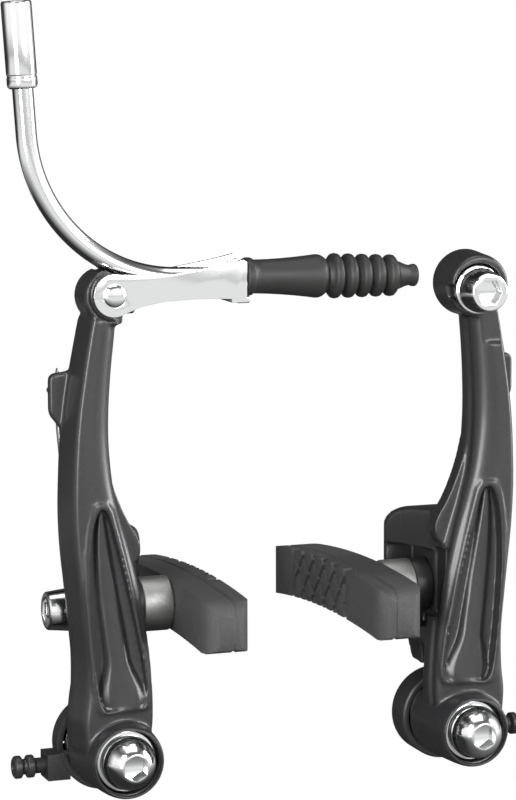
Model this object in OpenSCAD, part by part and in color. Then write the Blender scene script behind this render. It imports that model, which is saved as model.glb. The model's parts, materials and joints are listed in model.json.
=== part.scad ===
// Linear-pull bicycle rim brake: two arms, noodle, link, boot and pads.
// Y = 0 is the shoulder of the two frame bosses and -Y points away from the
// frame, +Z runs up the arms, and X = 0 is the middle plane of the wheel.

/* [Layout] */
// Distance between the two pivot axes
pivot_spacing = 80; // [76:0.5:84]
// Height of the link pin above the pivot
arm_length = 99.4; // [94:0.2:108]
// Height of the cable anchor above the pivot
anchor_height = 97.8; // [94:0.2:104]
// Outward offset of the link pin from the pivot
pin_offset = 1.3; // [0:0.1:3]
// Height of the pad stud above the pivot
pad_height = 30; // [28:0.5:33]
// Distance of the pad stud in front of the boss shoulder
stud_front = 6; // [5:0.1:8]
// Clear distance between the two pad faces
pad_gap = 29.6; // [24:0.2:34]

/* [Pivot] */
// Length of the pivot bush
bush_length = 23; // [21:0.5:25]
// Radius of the bush bore, for the frame boss
bush_bore_r = 4.1; // [4.05:0.01:4.2]
// Outer radius of the bush
bush_r = 5.2; // [5:0.05:5.5]
// Radial running clearance between bush and arm
run_gap = 0.05; // [0.02:0.01:0.09]
// Outer radius of the arm's pivot boss
boss_r = 8.8; // [8.4:0.1:9.4]
// Gap between the spring cap and the arm's boss
cap_gap = 0.4; // [0.2:0.1:0.8]
// Outer radius of the spring cap
cap_r = 10; // [9.8:0.1:10.4]
// Depth of the spring cap along the pivot
cap_depth = 7.8; // [7.4:0.1:8.2]
// Wall of the spring cap
cap_wall = 1.3; // [1:0.1:1.5]
// Radius of the pivot bolt's shank
bolt_r = 2.9; // [2.7:0.05:3]
// Radius of the pivot bolt's head
bolt_head_r = 5.9; // [5.5:0.1:6.2]
// Height of the pivot bolt's domed head
bolt_head_h = 6.9; // [6:0.1:7.5]
// Thickness of the washer under the pivot bolt
bolt_washer_t = 1; // [0.8:0.1:1.4]
// Length of bolt that stands out behind the bush, in the frame boss
bolt_reach = 8; // [6:0.5:14]

/* [Spring] */
// Radius of the spring wire
wire_r = 0.7; // [0.6:0.05:0.75]
// Mean radius of the coil
coil_r = 7.4; // [7.2:0.05:7.6]
// Number of turns
coil_turns = 3; // [2:1:3]
// Length of the spring's end pin behind the boss shoulder
spring_pin = 3.6; // [2:0.2:5]

/* [Arm] */
// Distance of the arm's front face from the boss shoulder
face_front = 22.5; // [22:0.1:23.5]
// Depth of the arm at mid height
arm_depth = 10.8; // [10:0.1:11.4]
// Depth of the teardrop recess in the front face
recess_depth = 2.6; // [1.5:0.1:3.2]
// Height of the raised floor inside the recess
recess_floor = 1.1; // [0.4:0.1:1.4]
// Thickness of the web that carries the pad stud
web_t = 3.6; // [3:0.1:4]
// Inner face of that web, measured inward from the pivot
web_in = 4.2; // [4:0.1:4.6]
// Reach of the rear wall, measured inward from the pivot
wall_in = 11; // [9:0.2:11.6]
// Thickness of the rear wall
wall_t = 2.2; // [1.6:0.1:3]
// Reach of the spring ear, measured outward from the pivot
ear_out = 13.7; // [13:0.1:14.5]

/* [Pads] */
// Length of the pad in front of its stud
pad_front = 27.5; // [24:0.5:32]
// Length of the pad behind its stud
pad_rear = 43.5; // [38:0.5:46]
// Thickness of the pad
pad_t = 10.2; // [9:0.1:11]
// Height of the pad
pad_h = 11; // [10:0.1:12]
// Radius of the rim that the pad's long edges follow
rim_r = 305; // [280:1:320]
// Depth of the pad's cross grooves
groove_depth = 2.2; // [1:0.1:3]
// Depth of the diamond grooves
diamond_depth = 0.9; // [0.4:0.1:1.4]
// Radius of the pad stud
stud_r = 3; // [2.8:0.05:3]
// Clearance of the stud in its slot and washers
stud_gap = 0.15; // [0.1:0.05:0.3]
// Travel of the stud in its slot, up or down
slot_travel = 2.5; // [1.5:0.1:3]
// Radius of the spherical washers
washer_r = 6; // [5.6:0.1:6.2]
// Radius of the washers' spherical faces
sphere_r = 8.5; // [8:0.1:10]
// Thickness of the inner cup washer at its rim
cup_t = 4; // [3.6:0.1:4.4]
// Thickness of the outer cup washer at its rim
outer_cup_t = 2.6; // [2.4:0.1:3]
// Thickness of the flat washer
flat_t = 0.9; // [0.7:0.1:1.2]
// Length of the pad nut
nut_length = 9.2; // [8:0.1:10]
// Radius of the pad nut where it bears
nut_r = 4.9; // [4.7:0.1:5.2]
// Radius of the pad nut at its outer end
nut_end_r = 4.15; // [4:0.05:4.5]

/* [Link and noodle] */
// Length of the link from its pin to the nose
link_length = 29.3; // [27:0.1:32]
// Thickness of the link's sheet
sheet_t = 1.2; // [1:0.05:1.3]
// Clear width between the link's two plates
link_gap = 5.2; // [5.1:0.05:5.6]
// Radius of the link's round end
link_end_r = 4.5; // [4.2:0.1:4.7]
// Clearance between the link's plates and the arm's tongue
tongue_gap = 0.1; // [0.05:0.05:0.2]
// Radius of the link pin's shank
pin_r = 2; // [1.8:0.05:2.2]
// Radius of the link pin's heads
pin_head_r = 2.5; // [2.3:0.1:3]
// Height of the noodle's axis above the link pin, at the nose
nose_rise = 2.7; // [2.5:0.1:3]
// Downward tilt of the noodle's axis at the nose, in degrees
nose_tilt = 1.5; // [0:0.1:3]
// Outer radius of the noodle tube
tube_r = 2.2; // [2.1:0.05:2.3]
// Bore radius of the noodle tube
tube_bore_r = 1.5; // [1.3:0.05:1.6]
// Bend radius of the noodle
bend_r = 33; // [30:0.5:35]
// Angle of the noodle's bend, in degrees
bend_angle = 84.6; // [80:0.2:88]
// Straight length of tube above the bend
tube_rise = 15.5; // [12:0.5:20]
// Outer radius of the ferrule
ferrule_r = 3.2; // [3.1:0.05:3.5]
// Length of the ferrule
ferrule_length = 18; // [15:0.5:22]
// Radius of the ferrule's socket for cable housing
socket_r = 2.55; // [2.5:0.01:2.6]
// Depth of that socket
socket_depth = 11; // [8:0.5:12]
// Wall of the plastic liner
liner_wall = 0.5; // [0.4:0.05:0.6]

/* [Boot] */
// Length of the rubber boot
boot_length = 40; // [36:0.5:44]
// Number of bellows
bellows = 5; // [3:1:6]
// Distance from one bellow to the next
bellow_pitch = 3.2; // [3:0.05:3.3]
// Radius of the bellows at their peaks
bellow_peak = 4.9; // [4.6:0.1:5.2]
// Radius of the bellows at their valleys
bellow_valley = 3.4; // [3.2:0.1:3.6]
// Wall of the boot
boot_wall = 1; // [0.8:0.05:1.2]

/* [Cable anchor] */
// Radius of the anchor washer
anchor_washer_r = 5.4; // [5.2:0.1:5.6]
// Thickness of the anchor washer
anchor_washer_t = 1.8; // [1.5:0.1:2]
// Radius of the anchor bolt's head at its base
anchor_head_r = 4.9; // [4.6:0.1:5.1]
// Radius of the anchor bolt's head at its face
anchor_face_r = 3.9; // [3.7:0.1:4.1]
// Height of the anchor bolt's head
anchor_head_h = 6.2; // [5.5:0.1:7]
// Radius of the anchor bolt's shank
anchor_bolt_r = 2.4; // [2.2:0.05:2.5]

/* [Tension screw] */
// Radius of the screw's shank
screw_r = 1.7; // [1.5:0.05:1.9]
// Radius of the screw's head
screw_head_r = 2.5; // [2.2:0.1:2.7]
// Depth of the screw's axis below the pivot
screw_drop = 4.5; // [4:0.1:5]
// Travel of the screw, in or out
screw_travel = 1.5; // [1:0.1:1.6]

/* [Hidden] */
// Overlap of a tube's straight and bent lengths, and how much thicker the straight wall is
lap = 0.3;
lap_wall = 0.01;
hex5_r = 2.5 / cos(30);
round_fn = 96;

// Colours as the photograph shows them
black_paint = [0.13, 0.13, 0.14];
dark_plastic = [0.09, 0.09, 0.1];
pad_rubber = [0.2, 0.2, 0.21];
chrome_grey = [0.86, 0.87, 0.88];
matte_silver = [0.74, 0.75, 0.76];
steel_grey = [0.42, 0.43, 0.45];
brass = [0.72, 0.6, 0.34];

// Places along the pivot axis
bush_front = -bush_length;
bolt_seat = bush_front - bolt_washer_t;
bolt_ring = bolt_seat - 1.5;
boss_front = bolt_ring - 0.9;
boss_rear = -cap_depth - 0.3 - cap_gap;
recess_r = bolt_head_r + 1.1;
neck_r = bolt_r + 0.1;
cap_floor = 1.2;

// Places on the arm
face_y = -face_front;
stud_y = -stud_front;
back_low = face_y + arm_depth - 1.3;
pocket_half = washer_r + slot_travel + 0.3;
pocket_y = stud_y + washer_r + 0.4;
wall_y = pocket_y + wall_t;
web_out = web_in - web_t;
ear_z = arm_length * 0.79;
head_r = 6.5;
pin_u = -pin_offset;
pin_z = arm_length;

// Places of the link, midway between its plates
link_front = face_y;
link_mid = link_front + sheet_t + link_gap / 2;
link_back = link_front + 2 * sheet_t + link_gap;
tongue_t = link_gap - 2 * tongue_gap;
pin_x = -pivot_spacing / 2 + pin_u;
nose_x = pin_x + link_length;
nose_z = pin_z + nose_rise;

// Cable anchor, on the right arm
anchor_u = -1;
anchor_seat = face_y + 0.7;

// Pad stack, measured inward from the pivot
pad_back_u = pivot_spacing / 2 - pad_gap / 2 - pad_t;
cup_u = web_in + cup_t;
sphere_sag = sphere_r - sqrt(sphere_r * sphere_r - washer_r * washer_r);
outer_cup_u = web_out - outer_cup_t;
outer_dome_t = 1.9;
sphere_gap = 0.1;
outer_dome_u = outer_cup_u - sphere_gap - outer_dome_t + sphere_sag - 0.8;
flat_u = outer_dome_u - flat_t;
nut_u = flat_u - nut_length;
stud_plate_r = 4.4;
stud_plate_t = 2;
ball_steps = 8;
hole_r = stud_r + stud_gap;
// Crowns of the two washer pairs, where their spherical faces meet on the axis
inner_crown = cup_u - sphere_sag;
outer_crown = outer_cup_u + sphere_sag;
// Cross grooves of the pad, measured behind its stud
cross_a = -4.7;
cross_b = 28.4;

// Spring cap's block and the inner face of the tension screw's head
block_u = -cap_r - 2.6;
head_u = block_u - 0.6 - screw_travel;

// Noodle: stub in the nose, straight length before the bend, place of the ferrule's foot
stub_r = 1.95;
run = link_length - 14.4;
ferrule_foot = tube_rise - 6;
// Downward swing of the link, and the lug round its pin that the noodle passes over
link_swing = 40;
bend_x = link_length - run * cos(nose_tilt) + bend_r * sin(nose_tilt);
bend_z = nose_rise + run * sin(nose_tilt) + bend_r * cos(nose_tilt);
lug_r = norm([bend_x, bend_z]) - bend_r - tube_r - 0.35;

// Stations of the arm: share of the arm's length, outer edge, inner edge, depth share
arm_rows = [
  [0.02, -6.6, 6.4, 0.92],
  [0.08, -7.2, 6.8, 0.9],
  [0.14, -7.6, 6.6, 0.88],
  [0.22, -8.0, 6.1, 0.88],
  [0.30, -8.7, 5.2, 0.88],
  [0.38, -9.2, 3.6, 0.9],
  [0.45, -9.6, 2.0, 0.94],
  [0.52, -9.8, 0.2, 0.98],
  [0.59, -9.9, -1.2, 1],
  [0.68, -9.7, -1.8, 1.02],
  [0.76, -9.0, -1.7, 1],
  [0.84, -7.7, -1.3, 0.96],
  [0.91, -6.6, -0.6, 0.92],
  [0.95, -6.8, -0.2, 0.92]];
arm_steps = 26;
arm_sides = 24;

// Outline of the recess: share of the arm's length, outer edge, inner edge
recess_rows = [
  [0.125, -4.3, 4.2],
  [0.14, -5.2, 4.5],
  [0.17, -6.0, 4.2],
  [0.22, -6.8, 3.2],
  [0.30, -7.4, 1.4],
  [0.38, -7.6, -0.3],
  [0.45, -7.4, -2.0],
  [0.50, -6.7, -3.1],
  [0.53, -5.8, -3.8],
  [0.545, -5.0, -4.5]];

// Functions
function mix(a, b, t) = a + (b - a) * t;
function blend4(a, b, c, d, t) =
  0.5 * (2 * b + (c - a) * t + (2 * a - 5 * b + 4 * c - d) * t * t
  + (3 * b - a - 3 * c + d) * t * t * t);
function row_at(rows, s) =
  let (n = len(rows), i = min(floor(s), n - 2), t = s - i)
  blend4(rows[max(i - 1, 0)], rows[i], rows[i + 1], rows[min(i + 2, n - 1)], t);
function signed_pow(v, p) = sign(v) * pow(abs(v), p);
function unit(v) = v / norm(v);
function arc(cx, cy, r, a0, a1, n) =
  [for (i = [0:n]) let (a = mix(a0, a1, i / n)) [cx + r * cos(a), cy + r * sin(a)]];

// One level ring of the arm: flat-sided at the back, bowed at the front
function arm_ring(row) =
  let (cu = (row[1] + row[2]) / 2, hu = (row[2] - row[1]) / 2,
    hy = arm_depth * row[3] / 2, cy = face_y + hy)
  [for (k = [0:arm_sides - 1])
    let (a = 360 * (k + 0.5) / arm_sides, p = sin(a) < 0 ? 0.62 : 0.5)
    [cu + hu * signed_pow(cos(a), p), cy + hy * signed_pow(sin(a), p),
      row[0] * arm_length]];

// Faces of a stack of rings, each with m points
function ring_faces(count, m) = concat(
  [[for (k = [0:m - 1]) k]],
  [for (i = [0:count - 2], k = [0:m - 1])
    [i * m + k, (i + 1) * m + k, (i + 1) * m + (k + 1) % m, i * m + (k + 1) % m]],
  [[for (k = [m - 1:-1:0]) (count - 1) * m + k]]);

// Rings of a wire of radius r along points p, each with its own side vector
function wire_rings(p, side, r, m) =
  [for (i = [0:len(p) - 1])
    let (t = unit(p[min(i + 1, len(p) - 1)] - p[max(i - 1, 0)]),
      n = unit(side[i] - t * (t * side[i])), b = cross(t, n))
    for (k = [0:m - 1])
      p[i] + r * (cos(360 * k / m) * n + sin(360 * k / m) * b)];

// Helpers
// Local frame of one side: origin on the pivot, +X points to the wheel
module left_side() translate([-pivot_spacing / 2, 0, 0]) children();
module right_side() mirror([1, 0, 0]) left_side() children();

// Turned shapes from [radius, place] points, about the Y axis and the X axis
module lathe_y(points) rotate([90, 0, 0])
  rotate_extrude($fn = round_fn) polygon([for (p = points) [p[0], -p[1]]]);
module lathe_x(points) rotate([0, 90, 0])
  rotate_extrude($fn = round_fn) polygon(points);

// Cylinders from place a to place b
module rod_y(r, a, b) translate([0, b, 0]) rotate([90, 0, 0])
  cylinder(r = r, h = b - a, $fn = round_fn);
module rod_x(r, a, b) translate([a, 0, 0]) rotate([0, 90, 0])
  cylinder(r = r, h = b - a, $fn = round_fn);
module hex_y(r, a, b) translate([0, b, 0]) rotate([90, 0, 0])
  cylinder(r = r, h = b - a, $fn = 6);
module hex_x(r, a, b) translate([a, 0, 0]) rotate([0, 90, 0])
  cylinder(r = r, h = b - a, $fn = 6);

// Outline drawn in X and Z, with thickness from place a to place b
module plate_y(a, b) translate([0, b, 0]) rotate([90, 0, 0])
  linear_extrude(height = b - a) children();
// Outline drawn in Y and Z, with thickness from place a to place b
module plate_x(a, b) translate([a, 0, 0]) rotate([90, 0, 90])
  linear_extrude(height = b - a) children();

module at_stud() translate([0, stud_y, pad_height]) children();
module at_pin() translate([pin_u, 0, pin_z]) children();
module at_anchor() translate([anchor_u, 0, anchor_height]) children();
module at_nose() translate([nose_x, link_mid, nose_z])
  rotate([0, nose_tilt, 0]) children();

// Arm
module arm_body() {
  rings = [for (i = [0:arm_steps])
    row_at(arm_rows, (len(arm_rows) - 1) * i / arm_steps)];
  points = [for (r = rings) for (p = arm_ring(r)) p];
  polyhedron(points, ring_faces(arm_steps + 1, arm_sides), convexity = 6);
}

module boss_blank() lathe_y([
  [0, boss_front + 0.4], [recess_r + 0.1, boss_front + 0.4], [recess_r + 0.3, boss_front],
  [recess_r + 0.7, boss_front + 0.1], [boss_r - 0.7, boss_front + 0.9],
  [boss_r - 0.2, boss_front + 1.9], [boss_r, boss_front + 3.2],
  [boss_r, boss_rear - 0.6], [boss_r - 0.6, boss_rear], [0, boss_rear]]);

module boss_cuts() {
  rod_y(bush_r + run_gap, bush_front - 2, boss_rear + 1);
  rod_y(recess_r, boss_front - 1, bush_front + 0.2);
}

// Side outline of the pad mount, in Y and Z
module mount_side() polygon(concat(
  [[back_low - 3, 5], [boss_rear, 5], [boss_rear, 11.4], [-4, 13.6], [1, 17.6]],
  arc(wall_y - 4, 22.5, 4, -40, 0, 4),
  arc(wall_y - 8.5, 42.5, 8.5, 0, 80, 8),
  [[back_low - 3, 54]]));

// Level outlines of the web with its rear wall, and of the hoods above and below the pocket
module web_plan() polygon([
  [web_out, back_low - 3], [web_in, back_low - 3], [web_in, pocket_y],
  [wall_in - 1, pocket_y], [wall_in, pocket_y + 0.7], [wall_in, wall_y - 0.7],
  [wall_in - 0.7, wall_y], [-1, wall_y], [-1.6, wall_y - 0.6], [-1.6, pocket_y],
  [web_out, pocket_y - 1.2]]);
module hood_plan() polygon([
  [web_out - 1, back_low - 3], [web_in - 0.4, back_low - 3], [web_in + 0.6, stud_y - 5],
  [wall_in - 2.2, stud_y + 3], [wall_in, pocket_y], [wall_in, wall_y - 0.7],
  [wall_in - 0.7, wall_y], [-1, wall_y], [-1.6, wall_y - 0.6], [-1.6, pocket_y - 2]]);

module pad_mount() intersection() {
  plate_x(-5, wall_in + 1) mount_side();
  union() {
    linear_extrude(height = 60) web_plan();
    translate([0, 0, pad_height + pocket_half])
      linear_extrude(height = 20) hood_plan();
    linear_extrude(height = pad_height - pocket_half) hood_plan();
  }
}

module stud_slot() at_stud() {
  plate_x(web_out - 4, web_in + 4) {
    translate([-stud_r - stud_gap, -slot_travel])
      square([2 * (stud_r + stud_gap), 2 * slot_travel]);
  }
  for (z = [-slot_travel, slot_travel])
    translate([0, 0, z]) rod_x(stud_r + stud_gap, web_out - 4, web_in + 4);
}

// Room for the outer washers and the nut behind the arm's outer edge
module nut_room() at_stud() translate([0, 0, -pocket_half])
  translate([-20, -washer_r - 0.4, 0])
    cube([20 + web_out, 2 * washer_r + 0.8, 2 * pocket_half]);

module recess_outline(inset) {
  n = 24;
  rows = [for (i = [0:n]) row_at(recess_rows, (len(recess_rows) - 1) * i / n)];
  z_lo = recess_rows[0][0] * arm_length;
  z_hi = recess_rows[len(recess_rows) - 1][0] * arm_length;
  function level(r) = let (z = r[0] * arm_length) z_lo + inset * 1.6
    + (z - z_lo) * (z_hi - z_lo - inset * 5) / (z_hi - z_lo);
  polygon(concat(
    [for (r = rows) [r[2] - min(inset, (r[2] - r[1]) / 2 - 0.1), level(r)]],
    [for (i = [n:-1:0]) let (r = rows[i])
      [r[1] + min(inset, (r[2] - r[1]) / 2 - 0.1), level(r)]]));
}

module front_recess() difference() {
  plate_y(face_y - 2, face_y + recess_depth) recess_outline(0);
  plate_y(face_y + recess_depth - recess_floor, face_y + recess_depth + 1)
    recess_outline(1.3);
}

// Ear that the spring's leg bears on, with its pin
module spring_ear() {
  back = face_y + arm_depth;
  plate_y(back - 2.6, back - 0.4) polygon(concat(
    [[-7, ear_z - 9], [-8.8, ear_z - 8.5]],
    arc(-ear_out + 3.4, ear_z - 1.5, 3.4, 215, 180, 4),
    arc(-ear_out + 1.6, ear_z + 4.4, 1.6, 180, 90, 4),
    [[-7, ear_z + 6.6]]));
  translate([-ear_out + 1.6, 0, ear_z]) rod_y(0.8, back - 1.4, back + 2.6);
}

module arm_common() {
  difference() {
    union() {
      arm_body();
      boss_blank();
      pad_mount();
      spring_ear();
      children();
    }
    boss_cuts();
    stud_slot();
    nut_room();
    front_recess();
  }
}

// Head of the left arm: a round end with a step each side for the link's plates,
// which leaves the link free to swing down to its stop
module link_head() {
  back = face_y + arm_depth * 0.92;
  translate([pin_u - 0.9, 0, pin_z - 0.6]) lathe_y([
    [0, face_y + 0.2], [head_r - 1.2, face_y + 0.2], [head_r - 0.3, face_y + 0.7],
    [head_r, face_y + 1.6], [head_r, back - 0.9], [head_r - 0.9, back], [0, back]]);
}
module link_room() {
  swing_r = link_end_r + 0.9;
  circle(r = swing_r, $fn = round_fn);
  translate([0.4, 0.13 - swing_r]) square([11.6, 16]);
  rotate(-link_swing) polygon([[2.6, -4.4], [6, -3.4], [12, -2.3], [12, 4], [2.6, 4]]);
}
module link_steps() {
  faces = [[face_y - 3, link_mid - tongue_t / 2], [link_mid + tongue_t / 2, -5]];
  for (f = faces) at_pin() plate_y(f[0], f[1]) link_room();
  at_pin() rod_y(pin_r + run_gap, face_y - 3, -5);
}
// Room for the noodle where it passes over the head, at rest and as it swings
module noodle_room() at_pin() plate_y(link_mid - link_gap / 2, link_mid + link_gap / 2) {
  polygon(concat([[bend_x, bend_z]],
    arc(bend_x, bend_z, bend_r + tube_r + 0.7, 190, 275, 24)));
  polygon(concat(arc(0, 0, lug_r, 85, 8 - link_swing, 16),
    arc(0, 0, 12, 8 - link_swing, 85, 12)));
}

module left_arm() color(black_paint) left_side() difference() {
  arm_common() link_head();
  link_steps();
  noodle_room();
}

// Head of the right arm: a deep round boss with a raised rim over the washer
module anchor_head() at_anchor() translate([-0.4, 0, 0.8]) lathe_y([
  [0, anchor_seat - 1.9], [anchor_washer_r + 1, anchor_seat - 1.9],
  [anchor_washer_r + 1.5, anchor_seat - 1.4], [anchor_washer_r + 1.7, anchor_seat - 0.4],
  [anchor_washer_r + 1.7, anchor_seat + 7.4], [anchor_washer_r + 1.2, anchor_seat + 8.8],
  [anchor_washer_r + 0.2, anchor_seat + 9.6], [0, anchor_seat + 9.6]]);
module anchor_cuts() at_anchor() {
  rod_y(anchor_washer_r + 0.35, anchor_seat - 4, anchor_seat);
  rod_y(anchor_bolt_r + 0.1, anchor_seat - 4, anchor_seat + 14);
  translate([-9, anchor_seat - 4, -12]) cube([18, 4, 9.5]);
  translate([3, anchor_seat - 4, -2]) cube([8, 5.3, 3.2]);
}

module right_arm() color(black_paint) right_side() difference() {
  arm_common() anchor_head();
  anchor_cuts();
}

// Pivot
module bush() color(steel_grey) lathe_y([
  [bush_bore_r, 0], [bush_bore_r, bush_front + 0.4], [bush_bore_r + 0.4, bush_front],
  [bush_r - 0.2, bush_front], [bush_r, bush_front + 0.2], [bush_r, -1.4],
  [bush_r + 0.9, -1.4], [bush_r + 0.9, 0]]);

module spring_cap() color(dark_plastic) difference() {
  union() {
    lathe_y([
      [bush_r + 1, -0.3], [bush_r + 1, -0.3 - cap_floor], [bush_r + 0.2, -0.3 - cap_floor],
      [bush_r + 0.2, -1.4 - cap_floor], [bush_r + 1.2, -1.4 - cap_floor],
      [bush_r + 1.2, -0.3 - cap_floor], [cap_r - cap_wall, -0.3 - cap_floor],
      [cap_r - cap_wall, -0.3 - cap_depth], [cap_r - 0.4, -0.3 - cap_depth],
      [cap_r, 0.1 - cap_depth], [cap_r, -1.1], [cap_r - 0.8, -0.3]]);
    translate([block_u, -cap_depth + 0.6, -screw_drop - 2.9])
      cube([5, cap_depth - 1.6, 5.8]);
  }
  translate([0, -cap_depth / 2, -screw_drop])
    rod_x(screw_r + run_gap, -cap_r - 4, -cap_r + cap_wall + 2.6);
  translate([-cap_r - 1, -cap_depth - 1, -1.2])
    cube([cap_r - coil_r + 2, 3.6, cap_r + 2]);
  translate([-coil_r, 0, 0]) rod_y(wire_r + 0.25, -4, 1);
}

// Wire of the spring: end pin, coil and the long leg behind the arm
module spring() color(steel_grey) {
  coil_back = -0.4 - cap_floor - wire_r;
  pitch = 2 * wire_r + 0.08;
  coil_n = 16 * coil_turns;
  coil_front = coil_back - pitch * coil_turns;
  leg_u = -ear_out + 1.6 + 0.8 + wire_r;
  pin_pts = [[-coil_r, spring_pin, 0], [-coil_r, coil_back + 1, 0]];
  coil = [for (i = [1:coil_n])
    let (a = 180 - 360 * i / 16, t = i / coil_n)
    [coil_r * cos(a), mix(coil_back, coil_front, t), coil_r * sin(a)]];
  leg_y = face_y + arm_depth * 1.02 + wire_r + 0.25;
  leg = [
    [-coil_r - 0.1, coil_front - 0.1, 4],
    [-coil_r - 0.1, coil_front - 0.5, 9],
    [-coil_r, coil_front - 2.6, 14],
    [-coil_r + 0.2, back_low + wire_r + 0.25, 21],
    [-coil_r, back_low + wire_r + 0.25, 38],
    [-8.6, leg_y, 54],
    [leg_u, leg_y, ear_z - 8],
    [leg_u, leg_y, ear_z + 5]];
  sides = concat([[-1, 0, 0], [-1, 0, 0]],
    [for (c = coil) [c[0], 0, c[2]]], [for (l = leg) [-1, 0, 0]]);
  pts = concat(pin_pts, coil, leg);
  polyhedron(wire_rings(pts, sides, wire_r, 8), ring_faces(len(pts), 8), convexity = 8);
}

// Screw with two ribs on its head, which stands clear of the block by its travel
module tension_screw() color(dark_plastic)
  translate([0, -cap_depth / 2, -screw_drop]) difference() {
    lathe_x([
      [0, head_u - 4.9], [screw_head_r - 0.5, head_u - 4.9], [screw_head_r, head_u - 4.5],
      [screw_head_r, head_u - 3.3], [screw_r, head_u - 2.8], [screw_r, head_u - 2.2],
      [screw_head_r, head_u - 1.8], [screw_head_r, head_u - 0.5],
      [screw_head_r - 0.6, head_u - 0.2], [screw_r, head_u],
      [screw_r, -cap_r + cap_wall - 0.3], [screw_r - 0.4, -cap_r + cap_wall + 0.1],
      [0, -cap_r + cap_wall + 0.1]]);
    hex_x(1.15, head_u - 5.3, head_u - 2.9);
  }

module pivot_bolt() color(chrome_grey) difference() {
  dome = bolt_head_h - 1.5;
  lathe_y(concat(
    [[0, bolt_reach], [bolt_r - 0.4, bolt_reach], [bolt_r, bolt_reach - 0.4],
      [bolt_r, bush_front + 0.6], [neck_r, bush_front + 0.5], [neck_r, bolt_seat],
      [bolt_head_r - 0.2, bolt_seat],
      [bolt_head_r, bolt_seat - 0.3], [bolt_head_r, bolt_ring]],
    [for (a = [10:10:60]) [bolt_head_r * cos(a) + 0.35 * sin(a),
      bolt_ring - dome * sin(a) / sin(62)]],
    [[0, bolt_ring - dome]]));
  hex_y(hex5_r, bolt_ring - dome - 1, bolt_ring - dome + 3.6);
}

module bolt_washer() color(chrome_grey) lathe_y([
  [neck_r + 0.15, bush_front], [neck_r + 0.15, bolt_seat], [recess_r - 0.45, bolt_seat],
  [recess_r - 0.25, bolt_seat + 0.2], [recess_r - 0.25, bush_front]]);

// Pad and its washers
// Side outline of the pad: its long edges follow the rim
function pad_edge(dz, n) = [for (i = [0:n])
  let (y = mix(-pad_front + 2.6, pad_rear - 2.6, i / n), r = rim_r + dz)
  [y, dz + sqrt(r * r - y * y) - r]];
module pad_side() {
  top = pad_edge(pad_h / 2, 16);
  low = pad_edge(-pad_h / 2, 16);
  polygon(concat(
    [for (i = [16:-1:0]) low[i]],
    [low[0] + [-1.8, 0.8], low[0] + [-2.6, 2.8], top[0] + [-2.6, -3.2], top[0] + [-1.8, -1.2]],
    top,
    [top[16] + [1.8, -0.8], top[16] + [2.6, -2.8], low[16] + [2.6, 3.2], low[16] + [1.8, 1.2]]));
}
// Level outline of the pad: chamfered friction corners, rounded back
module pad_plan() polygon([
  [pad_back_u + pad_t, -pad_front + 3.4], [pad_back_u + pad_t, pad_rear - 3.4],
  [pad_back_u + pad_t - 1.8, pad_rear - 0.9], [pad_back_u + pad_t - 3.6, pad_rear],
  [pad_back_u + 3, pad_rear - 0.3], [pad_back_u + 1, pad_rear - 1.6],
  [pad_back_u, pad_rear - 4], [pad_back_u, -pad_front + 4],
  [pad_back_u + 1, -pad_front + 1.6], [pad_back_u + 3, -pad_front + 0.3],
  [pad_back_u + pad_t - 3.6, -pad_front], [pad_back_u + pad_t - 1.8, -pad_front + 0.9]]);

module pad_grooves() {
  face_u = pad_back_u + pad_t;
  for (y = [cross_a, cross_b])
    translate([face_u - groove_depth, y - 1, -pad_h]) cube([groove_depth + 1, 2, 2 * pad_h]);
  mid = (cross_a + cross_b) / 2;
  intersection() {
    translate([face_u - diamond_depth, cross_a, -pad_h])
      cube([diamond_depth + 1, cross_b - cross_a, 2 * pad_h]);
    for (i = [-2:2], a = [-40, 40])
      translate([face_u, mid + i * 6.6, 0]) rotate([a, 0, 0])
        translate([-diamond_depth, -0.5, -12]) cube([diamond_depth + 1, 1, 24]);
  }
}

module pad() color(pad_rubber) at_stud() difference() {
  intersection() {
    plate_x(pad_back_u, pad_back_u + pad_t) pad_side();
    translate([0, 0, -pad_h]) linear_extrude(height = 2 * pad_h) pad_plan();
  }
  pad_grooves();
  rod_x(stud_plate_r, pad_back_u - 1, pad_back_u + stud_plate_t);
}

module pad_stud() color(steel_grey) at_stud() lathe_x([
  [0, nut_u + 3.4], [stud_r - 0.5, nut_u + 3.4], [stud_r, nut_u + 3.9],
  [stud_r, pad_back_u], [stud_plate_r, pad_back_u],
  [stud_plate_r, pad_back_u + stud_plate_t], [0, pad_back_u + stud_plate_t]]);

// Washer with one spherical face: place of its flat face, thickness at the rim or crown
function ball_face(r0, r1, crown, way) = [for (i = [0:ball_steps])
  let (r = mix(r0, r1, i / ball_steps))
  [r, crown + way * (sphere_r - sqrt(sphere_r * sphere_r - r * r))]];

module inner_cup() color(steel_grey) at_stud() lathe_x(concat(
  ball_face(hole_r, washer_r, inner_crown, 1),
  [[washer_r, web_in + 0.3], [washer_r - 0.3, web_in], [hole_r, web_in]]));
module inner_dome() color(matte_silver) at_stud() lathe_x(concat(
  ball_face(hole_r, washer_r, inner_crown + sphere_gap, 1),
  [[washer_r, pad_back_u - 0.3], [washer_r - 0.3, pad_back_u], [hole_r, pad_back_u]]));

module outer_cup() color(steel_grey) at_stud() lathe_x(concat(
  ball_face(hole_r, washer_r, outer_crown, -1),
  [[washer_r, web_out - 0.3], [washer_r - 0.3, web_out], [hole_r, web_out]]));
module outer_dome() color(matte_silver) at_stud() lathe_x(concat(
  ball_face(hole_r, washer_r, outer_crown - sphere_gap, -1),
  [[washer_r, flat_u + flat_t + 0.2], [washer_r - 0.2, flat_u + flat_t],
    [hole_r, flat_u + flat_t]]));

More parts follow.
